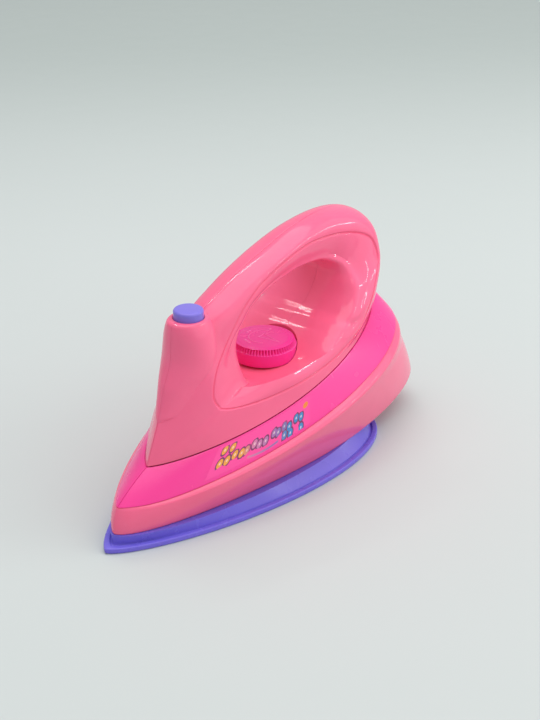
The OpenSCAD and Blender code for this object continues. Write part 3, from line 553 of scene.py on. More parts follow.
def make_sole():
    plateau = (HULL[0] - PLATEAU_OUT, PLATEAU_END, HULL[2] + PLATEAU_OUT, *HULL[3:])

    def under_hull(o):
        return ring(o, lambda u: bottom_z(along(o, u)) - SEAM)
    profile = arc((BEAD, BEAD), (BEAD, BEAD), 270, 180, 5)
    profile += arc((BEAD, RIM_H - BEAD * 0.7), (BEAD, BEAD * 0.7), 180, 90, 5)
    profile += [(t, RIM_H) for t in RIM_FLAT]
    profile += arc((RIM_GROOVE_AT, RIM_H), RIM_GROOVE, 180, 360, 8)[1:]
    rings = [ring(inset(SOLE, t), z) for t, z in profile]
    foot = inset(SOLE, FOOT_IN)
    for s in FOOT_SHARES:
        rings.append([mix(p, q, s) for p, q in zip(ring(foot, RIM_H + FOOT_RISE), under_hull(plateau))])
    rings.append(under_hull(inset(plateau, LAND_W)))
    for t, z in ((LAND_W, SOLE_H - WALL), (WALL, SOLE_H - WALL), (WALL - BEAD, WALL + BEAD), (WALL, WALL)):
        rings.append(ring(inset(plateau, t), z))
    sole = sweep("sole_skin", rings, False, strip_lids)
    for at in at_sole_screws():
        top = bottom_z(NOSE_X - at[0]) - SEAM - POST_GAP
        combine(sole, turned("post", rod(POST_R, 1, top), at, 48), "UNION")
    low = [NOSE_X - DOOR_A - DOOR_L / 2 - DOOR_PLAY, -DOOR_W / 2 - DOOR_PLAY, -1]
    high = [NOSE_X - DOOR_A + DOOR_L / 2 + DOOR_PLAY, DOOR_W / 2 + DOOR_PLAY, DOOR_SEAT]
    recess = block("recess", low, high)
    cut(sole, recess, grille("grille", -1, WALL + 1))
    for at in at_sole_screws():
        hole = [(0, -1), (HEAD_R, -1), (HEAD_R, HEAD_SEAT), (SHANK_R, HEAD_SEAT), (SHANK_R, 12), (0, 12)]
        cut(sole, turned("hole", hole, at, 48))
    smooth(sole)
    finish(sole, "housing", "violet_plastic", "soleplate")


# Hull
SHOULDER_SHARE = 0.9
SHOULDER_BOW = 0.074
STERN_SHARE, STERN_POWER = 0.742, 1.02
BAY_L, BAY_W, BAY_TOP = 31.2, 18.1, 18.7


def hull_half(s):
    """Half width of the hull at a share of its height, widest at the shoulder."""
    if s <= SHOULDER_SHARE:
        v = s / SHOULDER_SHARE
        return mix(HULL[2], SHOULDER_HALF, v * (1 + SHOULDER_BOW * (1 - v)))
    v = (s - SHOULDER_SHARE) / (1 - SHOULDER_SHARE)
    return mix(SHOULDER_HALF, DECK[2], v * v)


def hull_ring(s, thick, lift):
    end = mix(LENGTH, DECK[1], min(1, s / STERN_SHARE) ** STERN_POWER)
    plan = (mix(HULL[0], DECK[0], s * s), end, hull_half(s),
            mix(HULL[3], DECK[3], s), mix(HULL[4], DECK[4], s * s))

    def height(u):
        return mix(bottom_z(along(HULL, u)) + lift, deck_z(along(DECK, u)), s)
    return ring(inset(plan, thick) if thick else plan, height)


def make_hull():
    shares = [0, 0.006, 0.02] + [0.04 + 0.8 * k / 20 for k in range(21)]
    shares += [0.87, 0.89, 0.905, 0.92, 0.935, 0.95, 0.963, 0.975, 0.985, 0.993, 0.998, 1]
    trims = {0: 0.25, 0.006: 0.1, 0.02: 0.02, 0.998: 0.08, 1: 0.3}
    rings = [hull_ring(s, trims.get(s, 0), 0) for s in shares]
    rings += [hull_ring(s, WALL, 0 if s == 1 else WALL) for s in (1, 0.8, 0.6, 0.4, 0.2, 0)]
    hull = sweep("lower_shell_skin", rings, False, strip_lids)
    low = [NOSE_X - DOOR_A - BAY_L, -BAY_W, 0]
    high = [NOSE_X - DOOR_A + BAY_L, BAY_W, BAY_TOP]
    cut(hull, block("bay", low, high), grille("grille", 5, HULL_Z + WALL + 0.6))
    for at in at_sole_screws():
        cut(hull, turned("hole", rod(PILOT_R, 5, 15), at, 32))
    smooth(hull, 35)
    finish(hull, "housing", "light_pink_plastic", "lower_shell")


# Deck
LEDGE = 3.2
SKIRT = 4
CROWN = 0.7
JOINT_W = 0.25
JOINT_D = 0.5
BAND_STEPS = 12
BAND_END = 0.975
END_PULL = 0.02
SLOPE_STEP = 0.001


def deck_point(o, u, z):
    return [NOSE_X - along(o, u), out(o, u) + JOINT_W / 2, z]


def band_point(u, s, raised=0.0):
    """A point of the deck's band, from its lower edge at 0 to its upper edge at 1."""
    p = deck_point(DECK, u, deck_z(along(DECK, u)) + JOINT_W)
    q = deck_point(BASE, u, base_z(along(BASE, u)) - SEAM)
    point = mix(p, q, s)
    point[2] += CROWN * 4 * s * (1 - s)
    if raised:
        step = SLOPE_STEP
        here = Vector(point)
        side = Vector(band_point(u + step, s)) - here
        rise = Vector(band_point(u, s + step)) - here
        normal = rise.cross(side).normalized()
        point = list(here + normal * raised * (1 if normal.z > 0 else -1))
    return point


def deck_section(u):
    zl = deck_z(along(DECK, u)) + JOINT_W
    ledge = inset(BASE, LEDGE)
    zh = base_z(along(ledge, u)) - SEAM
    points = [band_point(u, BAND_END * k / BAND_STEPS) for k in range(BAND_STEPS + 1)]
    x, y, z = points[-1]
    points += [
        [x, y, z - JOINT_D], deck_point(ledge, u, min(zh, z) - JOINT_D),
        deck_point(ledge, u, zh - WALL * 1.5),
        deck_point(inset(BASE, WALL), u, zh - WALL * 1.5),
        deck_point(inset(DECK, 2 * WALL), u, zl - WALL / 4),
        deck_point(inset(DECK, 2 * WALL), u, zl - SKIRT),
        deck_point(inset(DECK, WALL + 0.3), u, zl - SKIRT),
        deck_point(inset(DECK, WALL + 0.3), u, zl)]
    return soften(points, {0: 0.3, BAND_STEPS: 0.2})


def make_deck(name, side):
    sections = []
    for i in range(STEPS + 1):
        points = deck_section(spaced(i))
        if i in (0, STEPS):
            centre = [sum(p[k] for p in points) / len(points) for k in range(3)]
            points = [mix(p, centre, END_PULL) for p in points]
        sections.append([[x, side * y, z] for x, y, z in points])
    deck = sweep(name + "_skin", sections, False)
    smooth(deck, 35)
    finish(deck, "housing", "hot_pink_plastic", name)


# Handle: tables from the prow up over the loop and back along the deck, as shares of
# the length, the height and the handle's half width
CORNERS = (0, 15)
SPINE = [
    (0.131, 0.271, 0), (0.175, 0.461, 0), (0.206, 0.621, 0), (0.236, 0.702, 0), (0.3, 0.793, 0),
    (0.364, 0.846, 0), (0.432, 0.895, 0), (0.518, 0.941, 0), (0.614, 0.985, 0), (0.714, 1, 0),
    (0.804, 0.975, 0), (0.856, 0.911, 0), (0.871, 0.822, 0), (0.865, 0.713, 0), (0.851, 0.612, 0),
    (0.909, 0.554, 0), (0.862, 0.546, 0), (0.797, 0.529, 0), (0.717, 0.503, 0), (0.591, 0.461, 0),
    (0.477, 0.42, 0), (0.364, 0.369, 0), (0.264, 0.322, 0), (0.191, 0.289, 0)]
GROOVE = [
    (0.266, 0.468, 0.528), (0.26, 0.513, 0.479), (0.277, 0.596, 0.436), (0.316, 0.682, 0.393),
    (0.359, 0.759, 0.368), (0.393, 0.809, 0.352), (0.445, 0.858, 0.337), (0.523, 0.906, 0.337),
    (0.611, 0.935, 0.337), (0.7, 0.929, 0.368), (0.768, 0.904, 0.445), (0.811, 0.86, 0.521),
    (0.823, 0.784, 0.598), (0.8, 0.732, 0.709), (0.763, 0.661, 0.819), (0.735, 0.603, 0.855),
    (0.703, 0.55, 0.893), (0.675, 0.527, 0.915), (0.647, 0.503, 0.921), (0.562, 0.476, 0.97),
    (0.459, 0.461, 0.966), (0.376, 0.443, 0.816), (0.309, 0.445, 0.681), (0.274, 0.454, 0.579)]
RIM = [
    (0.338, 0.5, 0.515), (0.33, 0.553, 0.442), (0.327, 0.626, 0.38), (0.349, 0.684, 0.346),
    (0.382, 0.73, 0.322), (0.418, 0.784, 0.307), (0.473, 0.823, 0.291), (0.536, 0.846, 0.282),
    (0.605, 0.854, 0.276), (0.691, 0.838, 0.307), (0.727, 0.801, 0.43), (0.743, 0.751, 0.567),
    (0.735, 0.703, 0.718), (0.716, 0.652, 0.797), (0.687, 0.602, 0.859), (0.676, 0.574, 0.862),
    (0.655, 0.563, 0.886), (0.635, 0.548, 0.905), (0.615, 0.536, 0.915), (0.54, 0.52, 0.927),
    (0.451, 0.516, 0.902), (0.4, 0.505, 0.782), (0.363, 0.499, 0.645), (0.345, 0.5, 0.558)]
EYE = [
    (0.386, 0.495, 0), (0.377, 0.554, 0), (0.373, 0.629, 0), (0.38, 0.688, 0), (0.4, 0.734, 0),
    (0.427, 0.767, 0), (0.482, 0.801, 0), (0.541, 0.817, 0), (0.6, 0.827, 0), (0.664, 0.817, 0),
    (0.698, 0.792, 0), (0.707, 0.755, 0), (0.7, 0.713, 0), (0.684, 0.666, 0), (0.659, 0.621, 0),
    (0.641, 0.604, 0), (0.623, 0.592, 0), (0.602, 0.571, 0), (0.582, 0.554, 0), (0.523, 0.49, 0),
    (0.468, 0.47, 0), (0.423, 0.472, 0), (0.398, 0.482, 0), (0.389, 0.489, 0)]
ROUND = [
    0.25, 0.25, 0.3, 0.5, 1, 1, 1, 1, 1, 1, 1, 0.9,
    0.8, 0.8, 0.7, 0.4, 0.2, 0.1, 0.1, 0.1, 0.1, 0.1, 0.2, 0.3]
STATIONS = len(SPINE)
LOOP_STEPS = 10
FLANK_STEPS = 16
CREST_STEPS = 12
CREST_POWER = 0.6
LAND = 0.4
GROOVE_W = 1.5
GROOVE_D = 0.9
GROOVE_CUTS = (0.35, 0.5, 0.35)
BEZEL_BOW = 0.5
BEZEL_STEPS = 5
SPINE_LAP = 0.3


def blend(table, s, sharp):
    """A smooth curve through a closed table, with corners kept where it is sharp."""
    i = floor(s)
    v = s - i

    def pick(k):
        p = table[k % STATIONS]
        return p if isinstance(p, tuple) else (p,)
    before, p, q, after = pick(i - 1), pick(i), pick(i + 1), pick(i + 2)
    result = []
    for b, f, g, h in zip(before, p, q, after):
        m = g - f if sharp and i % STATIONS in CORNERS else (g - b) / 2
        e = g - f if sharp and (i + 1) % STATIONS in CORNERS else (h - f) / 2
        result.append(cubic(f, m, g, e, v))
    return result


def real(p):
    return [p[0] * LENGTH, p[1] * HEIGHT, p[2] * BASE[2]]


def spine(s):
    a, z, y = real(blend(SPINE, s, True))
    if s <= CORNERS[1]:
        return [a, z, LAND]
    return [a, base_z(a), max(LAND, out(BASE, (a - BASE[0]) / (BASE[1] - BASE[0])))]


def section(s):
    """Half a section through the handle, as points of (behind the nose, height, side)."""
    o = spine(s)
    g, r, e = [real(blend(table, s, False)) for table in (GROOVE, RIM, EYE)]
    f = blend(ROUND, s, False)[0]
    toward = Vector((r[0] - g[0], r[1] - g[1], 0)).normalized()
    away = Vector((o[0] - g[0], o[1] - g[1], 0)).normalized()
    points = [[o[0] - away.x * SPINE_LAP, o[1] - away.y * SPINE_LAP, 0]]
    for k in range(FLANK_STEPS + 1):
        v = k / FLANK_STEPS
        a = mix(v, 1 - cos(pi * v / 2), f)
        b = mix(v, sin(pi * v / 2), f)
        points.append([mix(o[0], g[0], a), mix(o[1], g[1], a), mix(o[2], g[2], b)])
    low = [g[0] + toward.x * GROOVE_W / 2, g[1] + toward.y * GROOVE_W / 2, g[2] - GROOVE_D]
    lip = [g[0] + toward.x * GROOVE_W, g[1] + toward.y * GROOVE_W, g[2]]
    points += [low, lip]
    for k in range(1, BEZEL_STEPS + 1):
        v = k / BEZEL_STEPS
        side = mix(lip[2], r[2], v) + BEZEL_BOW * 4 * v * (1 - v)
        points.append([mix(lip[0], r[0], v), mix(lip[1], r[1], v), side])
    for k in range(1, CREST_STEPS):
        t = pi / 2 * k / CREST_STEPS
        a, b = sin(t) ** CREST_POWER, cos(t) ** CREST_POWER
        points.append([mix(r[0], e[0], a), mix(r[1], e[1], a), r[2] * b])
    points.append([e[0], e[1], 0])
    return points, {FLANK_STEPS + 1 + k: length for k, length in enumerate(GROOVE_CUTS)}


def full_section(s):
    half, cuts = section(s)
    n = len(half)
    both = half + [[a, z, -y] for a, z, y in half[-2:0:-1]]
    all_cuts = dict(cuts)
    all_cuts.update({len(both) - i: c for i, c in cuts.items()})
    return [[NOSE_X - a, y, z] for a, z, y in soften(both, all_cuts)]


# Spout: rings of height, reach forward and back, half width and fullness
SPOUT_A = 0.27045 * LENGTH
SPOUT = [
    (0.43, 0.695, 0.15, 0.15, 0.5), (0.449, 0.672, 0.2, 0.28, 0.5), (0.471, 0.642, 0.26, 0.31, 0.5),
    (0.505, 0.603, 0.32, 0.33, 0.5), (0.559, 0.544, 0.39, 0.352, 0.5), (0.604, 0.47, 0.43, 0.385, 0.53),
    (0.654, 0.4, 0.433, 0.395, 0.56), (0.699, 0.377, 0.413, 0.38, 0.56),
    (0.744, 0.367, 0.382, 0.348, 0.54), (0.772, 0.357, 0.351, 0.314, 0.52),
    (0.791, 0.341, 0.316, 0.284, 0.5), (0.799, 0.321, 0.29, 0.265, 0.5),
    (0.802, 0.297, 0.264, 0.245, 0.5)]
SPOUT_TURNS = 40
SPOUT_RISE = 6


def spout_values(s):
    """The spout's table, smoothed between its rows."""
    i = min(floor(s), len(SPOUT) - 2)
    v = s - i
    rows = [SPOUT[min(max(k, 0), len(SPOUT) - 1)] for k in (i - 1, i, i + 1, i + 2)]
    result = []
    for b, f, g, h in zip(*rows):
        m, e = (g - b) / 2, (h - f) / 2
        result.append(cubic(f, m, g, e, v))
    return result


def spout_ring(s):
    level, front, back, half, power = spout_values(s)
    z = level * HEIGHT
    front, back, half = front * BASE[2], back * BASE[2], half * BASE[2]
    left = []
    for j in range(SPOUT_TURNS + 1):
        t = pi / 2 * j / SPOUT_TURNS
        left.append([NOSE_X - SPOUT_A + front * cos(t), half * sin(t) ** (2 * power), z])
    for j in range(1, SPOUT_TURNS + 1):
        t = pi / 2 * j / SPOUT_TURNS
        left.append([NOSE_X - SPOUT_A - back * sin(t), half * cos(t), z])
    return left + [[x, -y, h] for x, y, h in left[-2:0:-1]]


# Works inside the handle, in the sizes of the part's source
SPOUT_TOP = SPOUT[-1][0] * HEIGHT
CAP_R = 6.95
BORE_PLAY, BORE_LIP, BORE_FLARE = 0.1, 0.5, 0.5
BORE_DROP = 2.2
BORE_LOW, BORE_HIGH = 20, 130
STEM_BORE_R = 3.05
WORKS_R = 8.15
DIAL_A = 0.5136 * LENGTH
DIAL_LOW = 0.479 * HEIGHT
DIAL_R = 16
DIAL_H = 9.3
DIAL_PLAY = 0.3
JOINS = ((0.4545, 0.8515), (0.7818, 0.8305), (0.325, 0.5201))


def make_handle():
    count = STATIONS * LOOP_STEPS
    handle = sweep("handle", [full_section(k / LOOP_STEPS) for k in range(count)], True)
    rings = [spout_ring(k / SPOUT_RISE) for k in range((len(SPOUT) - 1) * SPOUT_RISE + 1)]
    combine(handle, sweep("spout", rings, False, strip_lids), "UNION")
    flange_top = SPOUT_TOP - BORE_DROP
    button_bore = [
        (0, BORE_LOW), (WORKS_R, BORE_LOW), (WORKS_R, flange_top), (CAP_R + BORE_PLAY, flange_top),
        (CAP_R + BORE_PLAY, SPOUT_TOP - BORE_LIP), (CAP_R + BORE_FLARE, SPOUT_TOP + BORE_PLAY),
        (CAP_R + BORE_FLARE, BORE_HIGH), (0, BORE_HIGH)]
    cut(handle, turned("bore", button_bore, (NOSE_X - SPOUT_A, 0, 0), 96))
    low, high, wide = DIAL_LOW - DIAL_PLAY, DIAL_LOW + DIAL_H + DIAL_PLAY, DIAL_R + DIAL_PLAY
    seat = [(0, BORE_LOW), (STEM_BORE_R, BORE_LOW), (STEM_BORE_R, low), (wide, low), (wide, high), (0, high)]
    cut(handle, turned("seat", seat, (NOSE_X - DIAL_A, 0, 0), 96))
    for a, z in JOINS:
        hole = [(0, -60), (HEAD_R, -60), (HEAD_R, -6), (SHANK_R, -6),
                (SHANK_R, 0), (PILOT_R, 0), (PILOT_R, 7), (0, 7)]
        cut(handle, turned("hole", hole, (NOSE_X - a * LENGTH, 0, z * HEIGHT), 48, axis=1))
    for side, name in ((1, "handle_left"), (-1, "handle_right")):
        half = bpy.data.objects.new(name + "_skin", handle.data.copy())
        bpy.context.scene.collection.objects.link(half)
        split(half, side)
        smooth(half)
        finish(half, "housing", "light_pink_plastic", name)
    bpy.data.objects.remove(handle)


def split(piece, side):
    """Keeps one side of the middle plane, closed there and set back by half the seam."""
    work = bmesh.new()
    work.from_mesh(piece.data)
    plane = Vector((0, side * SEAM / 2 * MM, 0))
    parts = work.verts[:] + work.edges[:] + work.faces[:]
    bmesh.ops.bisect_plane(
        work, geom=parts, dist=1e-7, plane_co=plane, plane_no=(0, side, 0), clear_inner=True)
    open_edges = [e for e in work.edges if e.is_boundary]
    bmesh.ops.triangle_fill(work, edges=open_edges, use_beauty=True, use_dissolve=False)
    bmesh.ops.recalc_face_normals(work, faces=work.faces)
    work.to_mesh(piece.data)
    work.free()


# Button
CAP_RISE, CAP_EDGE, CAP_DOME, CAP_STEPS = 4.3, 1.2, 0.25, 8
FLANGE_DROP, FLANGE_T, FLANGE_OUT = 2.25, 1.6, 0.9
STEM_R, STEM_L, STEM_EDGE = 2, 13.8, 0.3


def make_button():
    top = SPOUT_TOP + CAP_RISE
    flange_top = SPOUT_TOP - FLANGE_DROP
    flange_low = flange_top - FLANGE_T
    stem_low = flange_low - STEM_L
    profile = [
        (0, stem_low), (STEM_R - STEM_EDGE, stem_low), (STEM_R, stem_low + STEM_EDGE), (STEM_R, flange_low),
        (CAP_R + FLANGE_OUT, flange_low), (CAP_R + FLANGE_OUT, flange_top), (CAP_R, flange_top)]
    profile += [(CAP_R, flange_top + k) for k in (1, 2, 3.5, 4.6)]
    for k in range(CAP_STEPS + 1):
        t = pi / 2 * k / CAP_STEPS
        profile.append((CAP_R - CAP_EDGE * (1 - cos(t)), top - CAP_DOME - CAP_EDGE * (1 - sin(t))))
    for k in range(1, CAP_STEPS + 1):
        r = (CAP_R - CAP_EDGE) * (1 - k / CAP_STEPS)
        profile.append((r, top - CAP_DOME * (r / (CAP_R - CAP_EDGE)) ** 2))
    button = turned("button_cap", profile, (NOSE_X - SPOUT_A, 0, 0), 96)
    smooth(button)
    finish(button, "button", "purple_plastic", "push_button")


# Dial
RIBS = 64
RIB_STEPS = 10
BEVEL_LOW, BEVEL_HIGH = DIAL_H - 3.3, DIAL_H - 0.5
BEVEL_IN = 1.3
BEVEL_SHARES = (0.04, 0.1, 0.17, 0.3, 0.5, 0.7, 0.83, 0.9, 0.96, 1)
RIB_DEPTH, RIB_FADE, RIB_POWER = 1.2, 6, 0.6
DIAL_SIDES = RIBS * RIB_STEPS
FOOT_EDGE = 0.3
FACE_IN, FACE_DOME, FACE_STEPS = 1.55, 0.32, 8
TOP_R = DIAL_R - BEVEL_IN
FACE_R = TOP_R - FACE_IN
DIAL_SKIN, DIAL_TOP_T = 2, 4
HUB_R, HUB_LOW = 7, 0.3
AXLE_R, AXLE_LOW = 3, -2.8
RELIEF_W = 0.5
RELIEF_H = 0.22
RELIEF_SINK = 0.3


def dial_radius(t, h):
    """The dial's radius at an angle and a height above its foot, ribs on the bevel."""
    if h <= BEVEL_LOW:
        return DIAL_R
    v = min((h - BEVEL_LOW) / (BEVEL_HIGH - BEVEL_LOW), 1)
    wave = (1 + cos(RIBS * t)) / 2
    depth = RIB_DEPTH * min(1, RIB_FADE * v) * min(1, RIB_FADE * (1 - v)) * (1 - wave ** RIB_POWER)
    return DIAL_R - BEVEL_IN * v - depth


def dial_ring(radius, h):
    """A ring of the dial. radius is a number or a function of the angle."""
    points = []
    for k in range(DIAL_SIDES):
        t = 2 * pi * k / DIAL_SIDES
        r = radius(t) if callable(radius) else radius
        points.append([r * cos(t), r * sin(t), h])
    return points


def make_dial():
    ceiling = DIAL_H - DIAL_TOP_T
    under = [(DIAL_R - DIAL_SKIN, 0), (DIAL_R - DIAL_SKIN, ceiling), (HUB_R, ceiling), (HUB_R, HUB_LOW),
             (AXLE_R, HUB_LOW), (AXLE_R, AXLE_LOW)]
    rows = [dial_ring(r, h) for r, h in reversed(under)]
    heights = [0.0, 0.15, FOOT_EDGE, 3.0, BEVEL_LOW - 0.4, BEVEL_LOW]
    heights += [mix(BEVEL_LOW, BEVEL_HIGH, v) for v in BEVEL_SHARES]
    for h in heights:
        trim = FOOT_EDGE * (1 - sqrt(1 - (1 - h / FOOT_EDGE) ** 2)) if h < FOOT_EDGE else 0
        rows.append(dial_ring(lambda t: dial_radius(t, h) - trim, h))
    for inward, down in ((0.35, 0.38), (0.8, FACE_DOME), (1.25, FACE_DOME), (1.4, 0.4), (FACE_IN, FACE_DOME)):
        rows.append(dial_ring(TOP_R - inward, DIAL_H - down))
    for k in range(1, FACE_STEPS):
        r = FACE_R * (1 - k / FACE_STEPS)
        rows.append(dial_ring(r, DIAL_H - FACE_DOME * (r / FACE_R) ** 2))
    placed = [[[NOSE_X - DIAL_A + x, y, DIAL_LOW + h] for x, y, h in row] for row in rows]
    dial = sweep("dial_cap", placed, False)
    cut(dial, turned("hole", rod(PILOT_R, -4, 6), (NOSE_X - DIAL_A, 0, DIAL_LOW), 32))
    smooth(dial, 40)
    finish(dial, "knob", "dial_pink_plastic", "dial")


# Marks on the dial: sets of dots, an arc and a pointer, as radii and degrees
MARK_START, MARK_END = 200, 395
DOT_RING, DOT_R, DOT_GAP, DOT_SPREAD = 9.6, 0.75, 11, 70
ARC_RING, ARC_STEPS = 7.4, 60
POINTER_STEPS = 8


def face_top(x, y):
    return DIAL_LOW + DIAL_H - FACE_DOME * ((x * x + y * y) / FACE_R ** 2)


def dot(x, y):
    profile = [
        (0, -RELIEF_SINK), (DOT_R, -RELIEF_SINK), (DOT_R, 0.0), (DOT_R * 0.85, RELIEF_H * 0.7),
        (DOT_R * 0.5, RELIEF_H * 0.95), (0, RELIEF_H)]
    return turned("mark", profile, (NOSE_X - DIAL_A + x, y, face_top(x, y)), 20)


def ridge(path):
    """A raised line along a path on the dial's face."""
    cross = [(-1, -RELIEF_SINK), (-1, 0), (-0.6, 0.75), (0, 1), (0.6, 0.75), (1, 0), (1, -RELIEF_SINK)]
    sections = []
    for i, (x, y) in enumerate(path):
        px, py = path[max(i - 1, 0)]
        qx, qy = path[min(i + 1, len(path) - 1)]
        length = sqrt((qx - px) ** 2 + (qy - py) ** 2) or 1
        sx, sy = -(qy - py) / length, (qx - px) / length
        top = face_top(x, y)
        sections.append([[NOSE_X - DIAL_A + x + sx * w * RELIEF_W / 2, y + sy * w * RELIEF_W / 2,
                          top + h * (RELIEF_H if h > 0 else 1)] for w, h in cross])
    return sweep("mark", sections, False)


def make_relief():
    """Plain raised marks on the dial: a pointer, an arc and three sets of dots."""
    marks = []
    start = radians(MARK_START)
    for k in range(3):
        for j in range(k + 1):
            t = start + radians(DOT_SPREAD) * k + radians(DOT_GAP) * (j - k / 2)
            marks.append(dot(DOT_RING * cos(t), DOT_RING * sin(t)))
    turns = [mix(start, radians(MARK_END), k / ARC_STEPS) for k in range(ARC_STEPS + 1)]
    marks.append(ridge([(ARC_RING * cos(t), ARC_RING * sin(t)) for t in turns]))
    tip = radians(90)
    pointer = [(9.5, tip), (3.0, tip + 2.3), (1.6, tip + pi), (3.0, tip - 2.3)]
    corners = [(r * cos(t), r * sin(t)) for r, t in pointer]
    for p, q in zip(corners, corners[1:] + corners[:1]):
        marks.append(ridge([tuple(mix(p, q, k / POINTER_STEPS)) for k in range(POINTER_STEPS + 1)]))
    relief = join(marks)
    relief.name = "dial_marks"
    smooth(relief, 50)
    # Painted highlight: the raised marks get a lighter copy of the dial's pink
    material = moulded("dial_marks", linear(255, 112, 184), 0.24)
    finish(relief, "knob", "dial_pink_plastic", material=material)


# Sticker on the left deck band
STICKER_U = (0.165, 0.46)
STICKER_S = (0.1, 0.9)
STICKER_LOW, STICKER_T = 0.02, 0.08
STICKER_MESH = (70, 12)
MOTIF_GRID = (16.0, 2.9)


def sticker_material():
    """Clear film with rows of round motifs, gold, then mauve, then blue, each with a dark outline."""
    n = Nodes("printed_film")
    uv = n.add("ShaderNodeUVMap", uv_map="film").outputs["UV"]
    parts = n.add("ShaderNodeSeparateXYZ")
    n.link(uv, parts.inputs["Vector"])
    across, up = parts.outputs["X"], parts.outputs["Y"]
    cells = n.add("ShaderNodeMapping")
    cells.inputs["Scale"].default_value = (*MOTIF_GRID, 1.0)
    n.link(uv, cells.inputs["Vector"])
    motif = n.add("ShaderNodeTexVoronoi", voronoi_dimensions="2D")
    motif.inputs["Scale"].default_value = 1.0
    motif.inputs["Randomness"].default_value = 0.5
    n.link(cells.outputs["Vector"], motif.inputs["Vector"])
    ramp = n.add("ShaderNodeValToRGB")
    n.link(across, ramp.inputs["Fac"])
    stops = ramp.color_ramp.elements
    stops[0].position, stops[0].color = 0.28, linear(240, 160, 60)
    stops[1].position, stops[1].color = 0.74, linear(60, 130, 190)
    for position, colour in ((0.38, linear(216, 120, 165)), (0.62, linear(150, 105, 170))):
        stop = stops.new(position)
        stop.color = colour

    def band(value, centre, half, soft):
        off = n.math("ABSOLUTE", n.math("SUBTRACT", value, centre))
        return n.ranged(off, half - soft, half, 1.0, 0.0)

    swing = n.math("MULTIPLY", n.math("SINE", n.math("MULTIPLY", across, 9.0)), 0.07)
    centre = n.add("ShaderNodeSeparateXYZ")
    n.link(motif.outputs["Position"], centre.inputs["Vector"])
    cell_x = n.math("DIVIDE", centre.outputs["X"], MOTIF_GRID[0])
    cell_y = n.math("DIVIDE", centre.outputs["Y"], MOTIF_GRID[1])
    row = band(cell_y, n.math("MULTIPLY_ADD", cell_x, -0.24, 0.54), 0.27, 0.01)
    places = ((0.18, 0.15), (0.51, 0.14), (0.82, 0.13))
    first, second, third = [band(cell_x, at, half, 0.01) for at, half in places]
    groups = n.math("ADD", n.math("ADD", first, second), third)
    line = band(up, n.math("ADD", swing, 0.12), 0.05, 0.03)
    swash = n.math("MULTIPLY", line, band(across, 0.5, 0.16, 0.02))
    spark_x = n.math("POWER", n.math("DIVIDE", n.math("SUBTRACT", across, 0.94), 0.035), 2.0)
    spark_y = n.math("POWER", n.math("DIVIDE", n.math("SUBTRACT", up, 0.72), 0.12), 2.0)
    spark = n.ranged(n.math("ADD", spark_x, spark_y), 0.6, 1.0, 1.0, 0.0)
    printed = n.math("MULTIPLY", row, groups)
    near = motif.outputs["Distance"]
    outline = n.math("MULTIPLY", n.ranged(near, 0.54, 0.6, 1.0, 0.0), printed)
    filled = n.math("MULTIPLY", n.ranged(near, 0.38, 0.44, 1.0, 0.0), printed)
    glint = n.math("MULTIPLY", n.ranged(near, 0.1, 0.16, 1.0, 0.0), printed)
    film = linear(255, 68, 156)
    colour = n.mix(n.math("MULTIPLY", outline, 0.9), film, linear(84, 40, 84))
    colour = n.mix(n.math("MAXIMUM", filled, swash), colour, ramp.outputs["Color"])
    colour = n.mix(n.math("MULTIPLY", glint, 0.6), colour, linear(252, 226, 220))
    colour = n.mix(spark, colour, linear(240, 130, 50))
    n.link(colour, n.shader.inputs["Base Color"])
    n.link(n.ranged(n.noise(120, 3), 0.3, 0.7, 0.04, 0.12), n.shader.inputs["Roughness"])
    n.link(n.bump(n.noise(90, 1), 0.5, 0.0001), n.shader.inputs["Normal"])
    return n.material


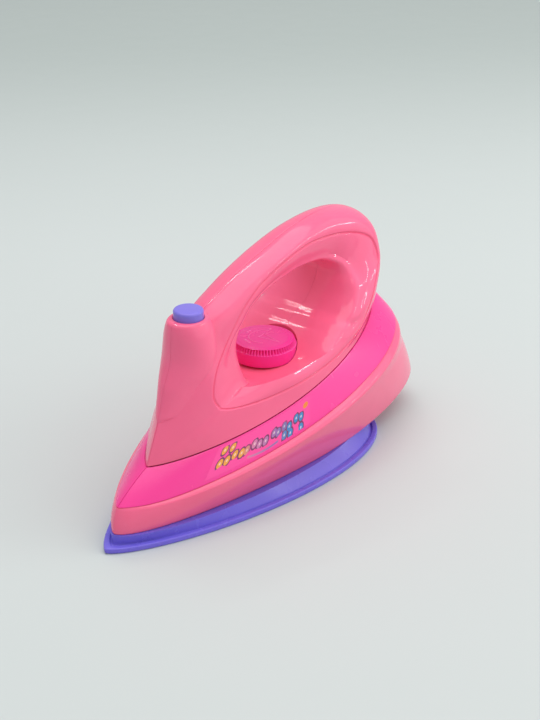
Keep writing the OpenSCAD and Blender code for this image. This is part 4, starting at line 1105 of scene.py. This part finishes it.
def make_sticker():
    across, up = STICKER_MESH
    faces, points, uvs = [], [], []
    for layer in (STICKER_LOW, STICKER_T):
        for i in range(across + 1):
            for j in range(up + 1):
                u = mix(*STICKER_U, i / across)
                s = mix(*STICKER_S, j / up)
                points.append(band_point(u, s, layer))
                uvs.append((i / across, j / up))
    size = (across + 1) * (up + 1)

    def at(layer, i, j):
        return layer * size + i * (up + 1) + j
    for i in range(across):
        for j in range(up):
            faces.append((at(1, i, j), at(1, i + 1, j), at(1, i + 1, j + 1), at(1, i, j + 1)))
            faces.append((at(0, i, j), at(0, i, j + 1), at(0, i + 1, j + 1), at(0, i + 1, j)))
    rim = [(i, 0) for i in range(across)] + [(across, j) for j in range(up)]
    rim += [(i, up) for i in range(across, 0, -1)] + [(0, j) for j in range(up, 0, -1)]
    for k, (i, j) in enumerate(rim):
        p, q = rim[(k + 1) % len(rim)]
        faces.append((at(0, i, j), at(0, p, q), at(1, p, q), at(1, i, j)))
    sticker = mesh_piece("band_sticker", points, faces)
    layer = sticker.data.uv_layers.new(name="film")
    for loop in sticker.data.loops:
        layer.data[loop.index].uv = uvs[loop.vertex_index]
    smooth(sticker, 50)
    finish(sticker, "housing", "hot_pink_plastic", material=sticker_material())


# Floor and light
def make_stage():
    floor_mesh = bpy.data.meshes.new("floor")
    corners = [(x * FLOOR_HALF, y * FLOOR_HALF, 0) for x, y in ((-1, -1), (1, -1), (1, 1), (-1, 1))]
    floor_mesh.from_pydata(corners, [], [(0, 1, 2, 3)])
    floor_piece = bpy.data.objects.new("floor", floor_mesh)
    bpy.context.scene.collection.objects.link(floor_piece)
    n = Nodes("floor")
    near = n.mix(n.noise(2, 2), linear(197, 203, 201), linear(202, 207, 206))
    parts = n.add("ShaderNodeSeparateXYZ")
    n.link(n.place, parts.inputs["Vector"])
    # Painted shade: the floor's colour darkens toward the back, away from the camera
    away = n.math("MULTIPLY", n.math("ADD", parts.outputs["X"], parts.outputs["Y"]), -1.0)
    n.link(n.mix(n.ranged(away, *FLOOR_SHADE_FADE), near, linear(176, 184, 181)), n.shader.inputs["Base Color"])
    n.link(n.ranged(n.noise(30, 2), 0.3, 0.7, 0.7, 0.85), n.shader.inputs["Roughness"])
    n.shader.inputs["Specular IOR Level"].default_value = 0.2
    floor_mesh.materials.append(n.material)


def make_light():
    world = bpy.data.worlds.new("world")
    bpy.context.scene.world = world
    world.use_nodes = True
    back = world.node_tree.nodes["Background"]
    back.inputs["Color"].default_value = linear(225, 228, 230)
    back.inputs["Strength"].default_value = WORLD_STRENGTH
    for lamp in LAMPS:
        softbox(*lamp)


place_camera()
make_stage()
make_light()
dress_frame()
make_sole()
make_hull()
make_deck("deck_left", 1)
make_deck("deck_right", -1)
make_handle()
make_button()
make_dial()
make_relief()
make_sticker()
bpy.context.scene.view_settings.view_transform = "Standard"
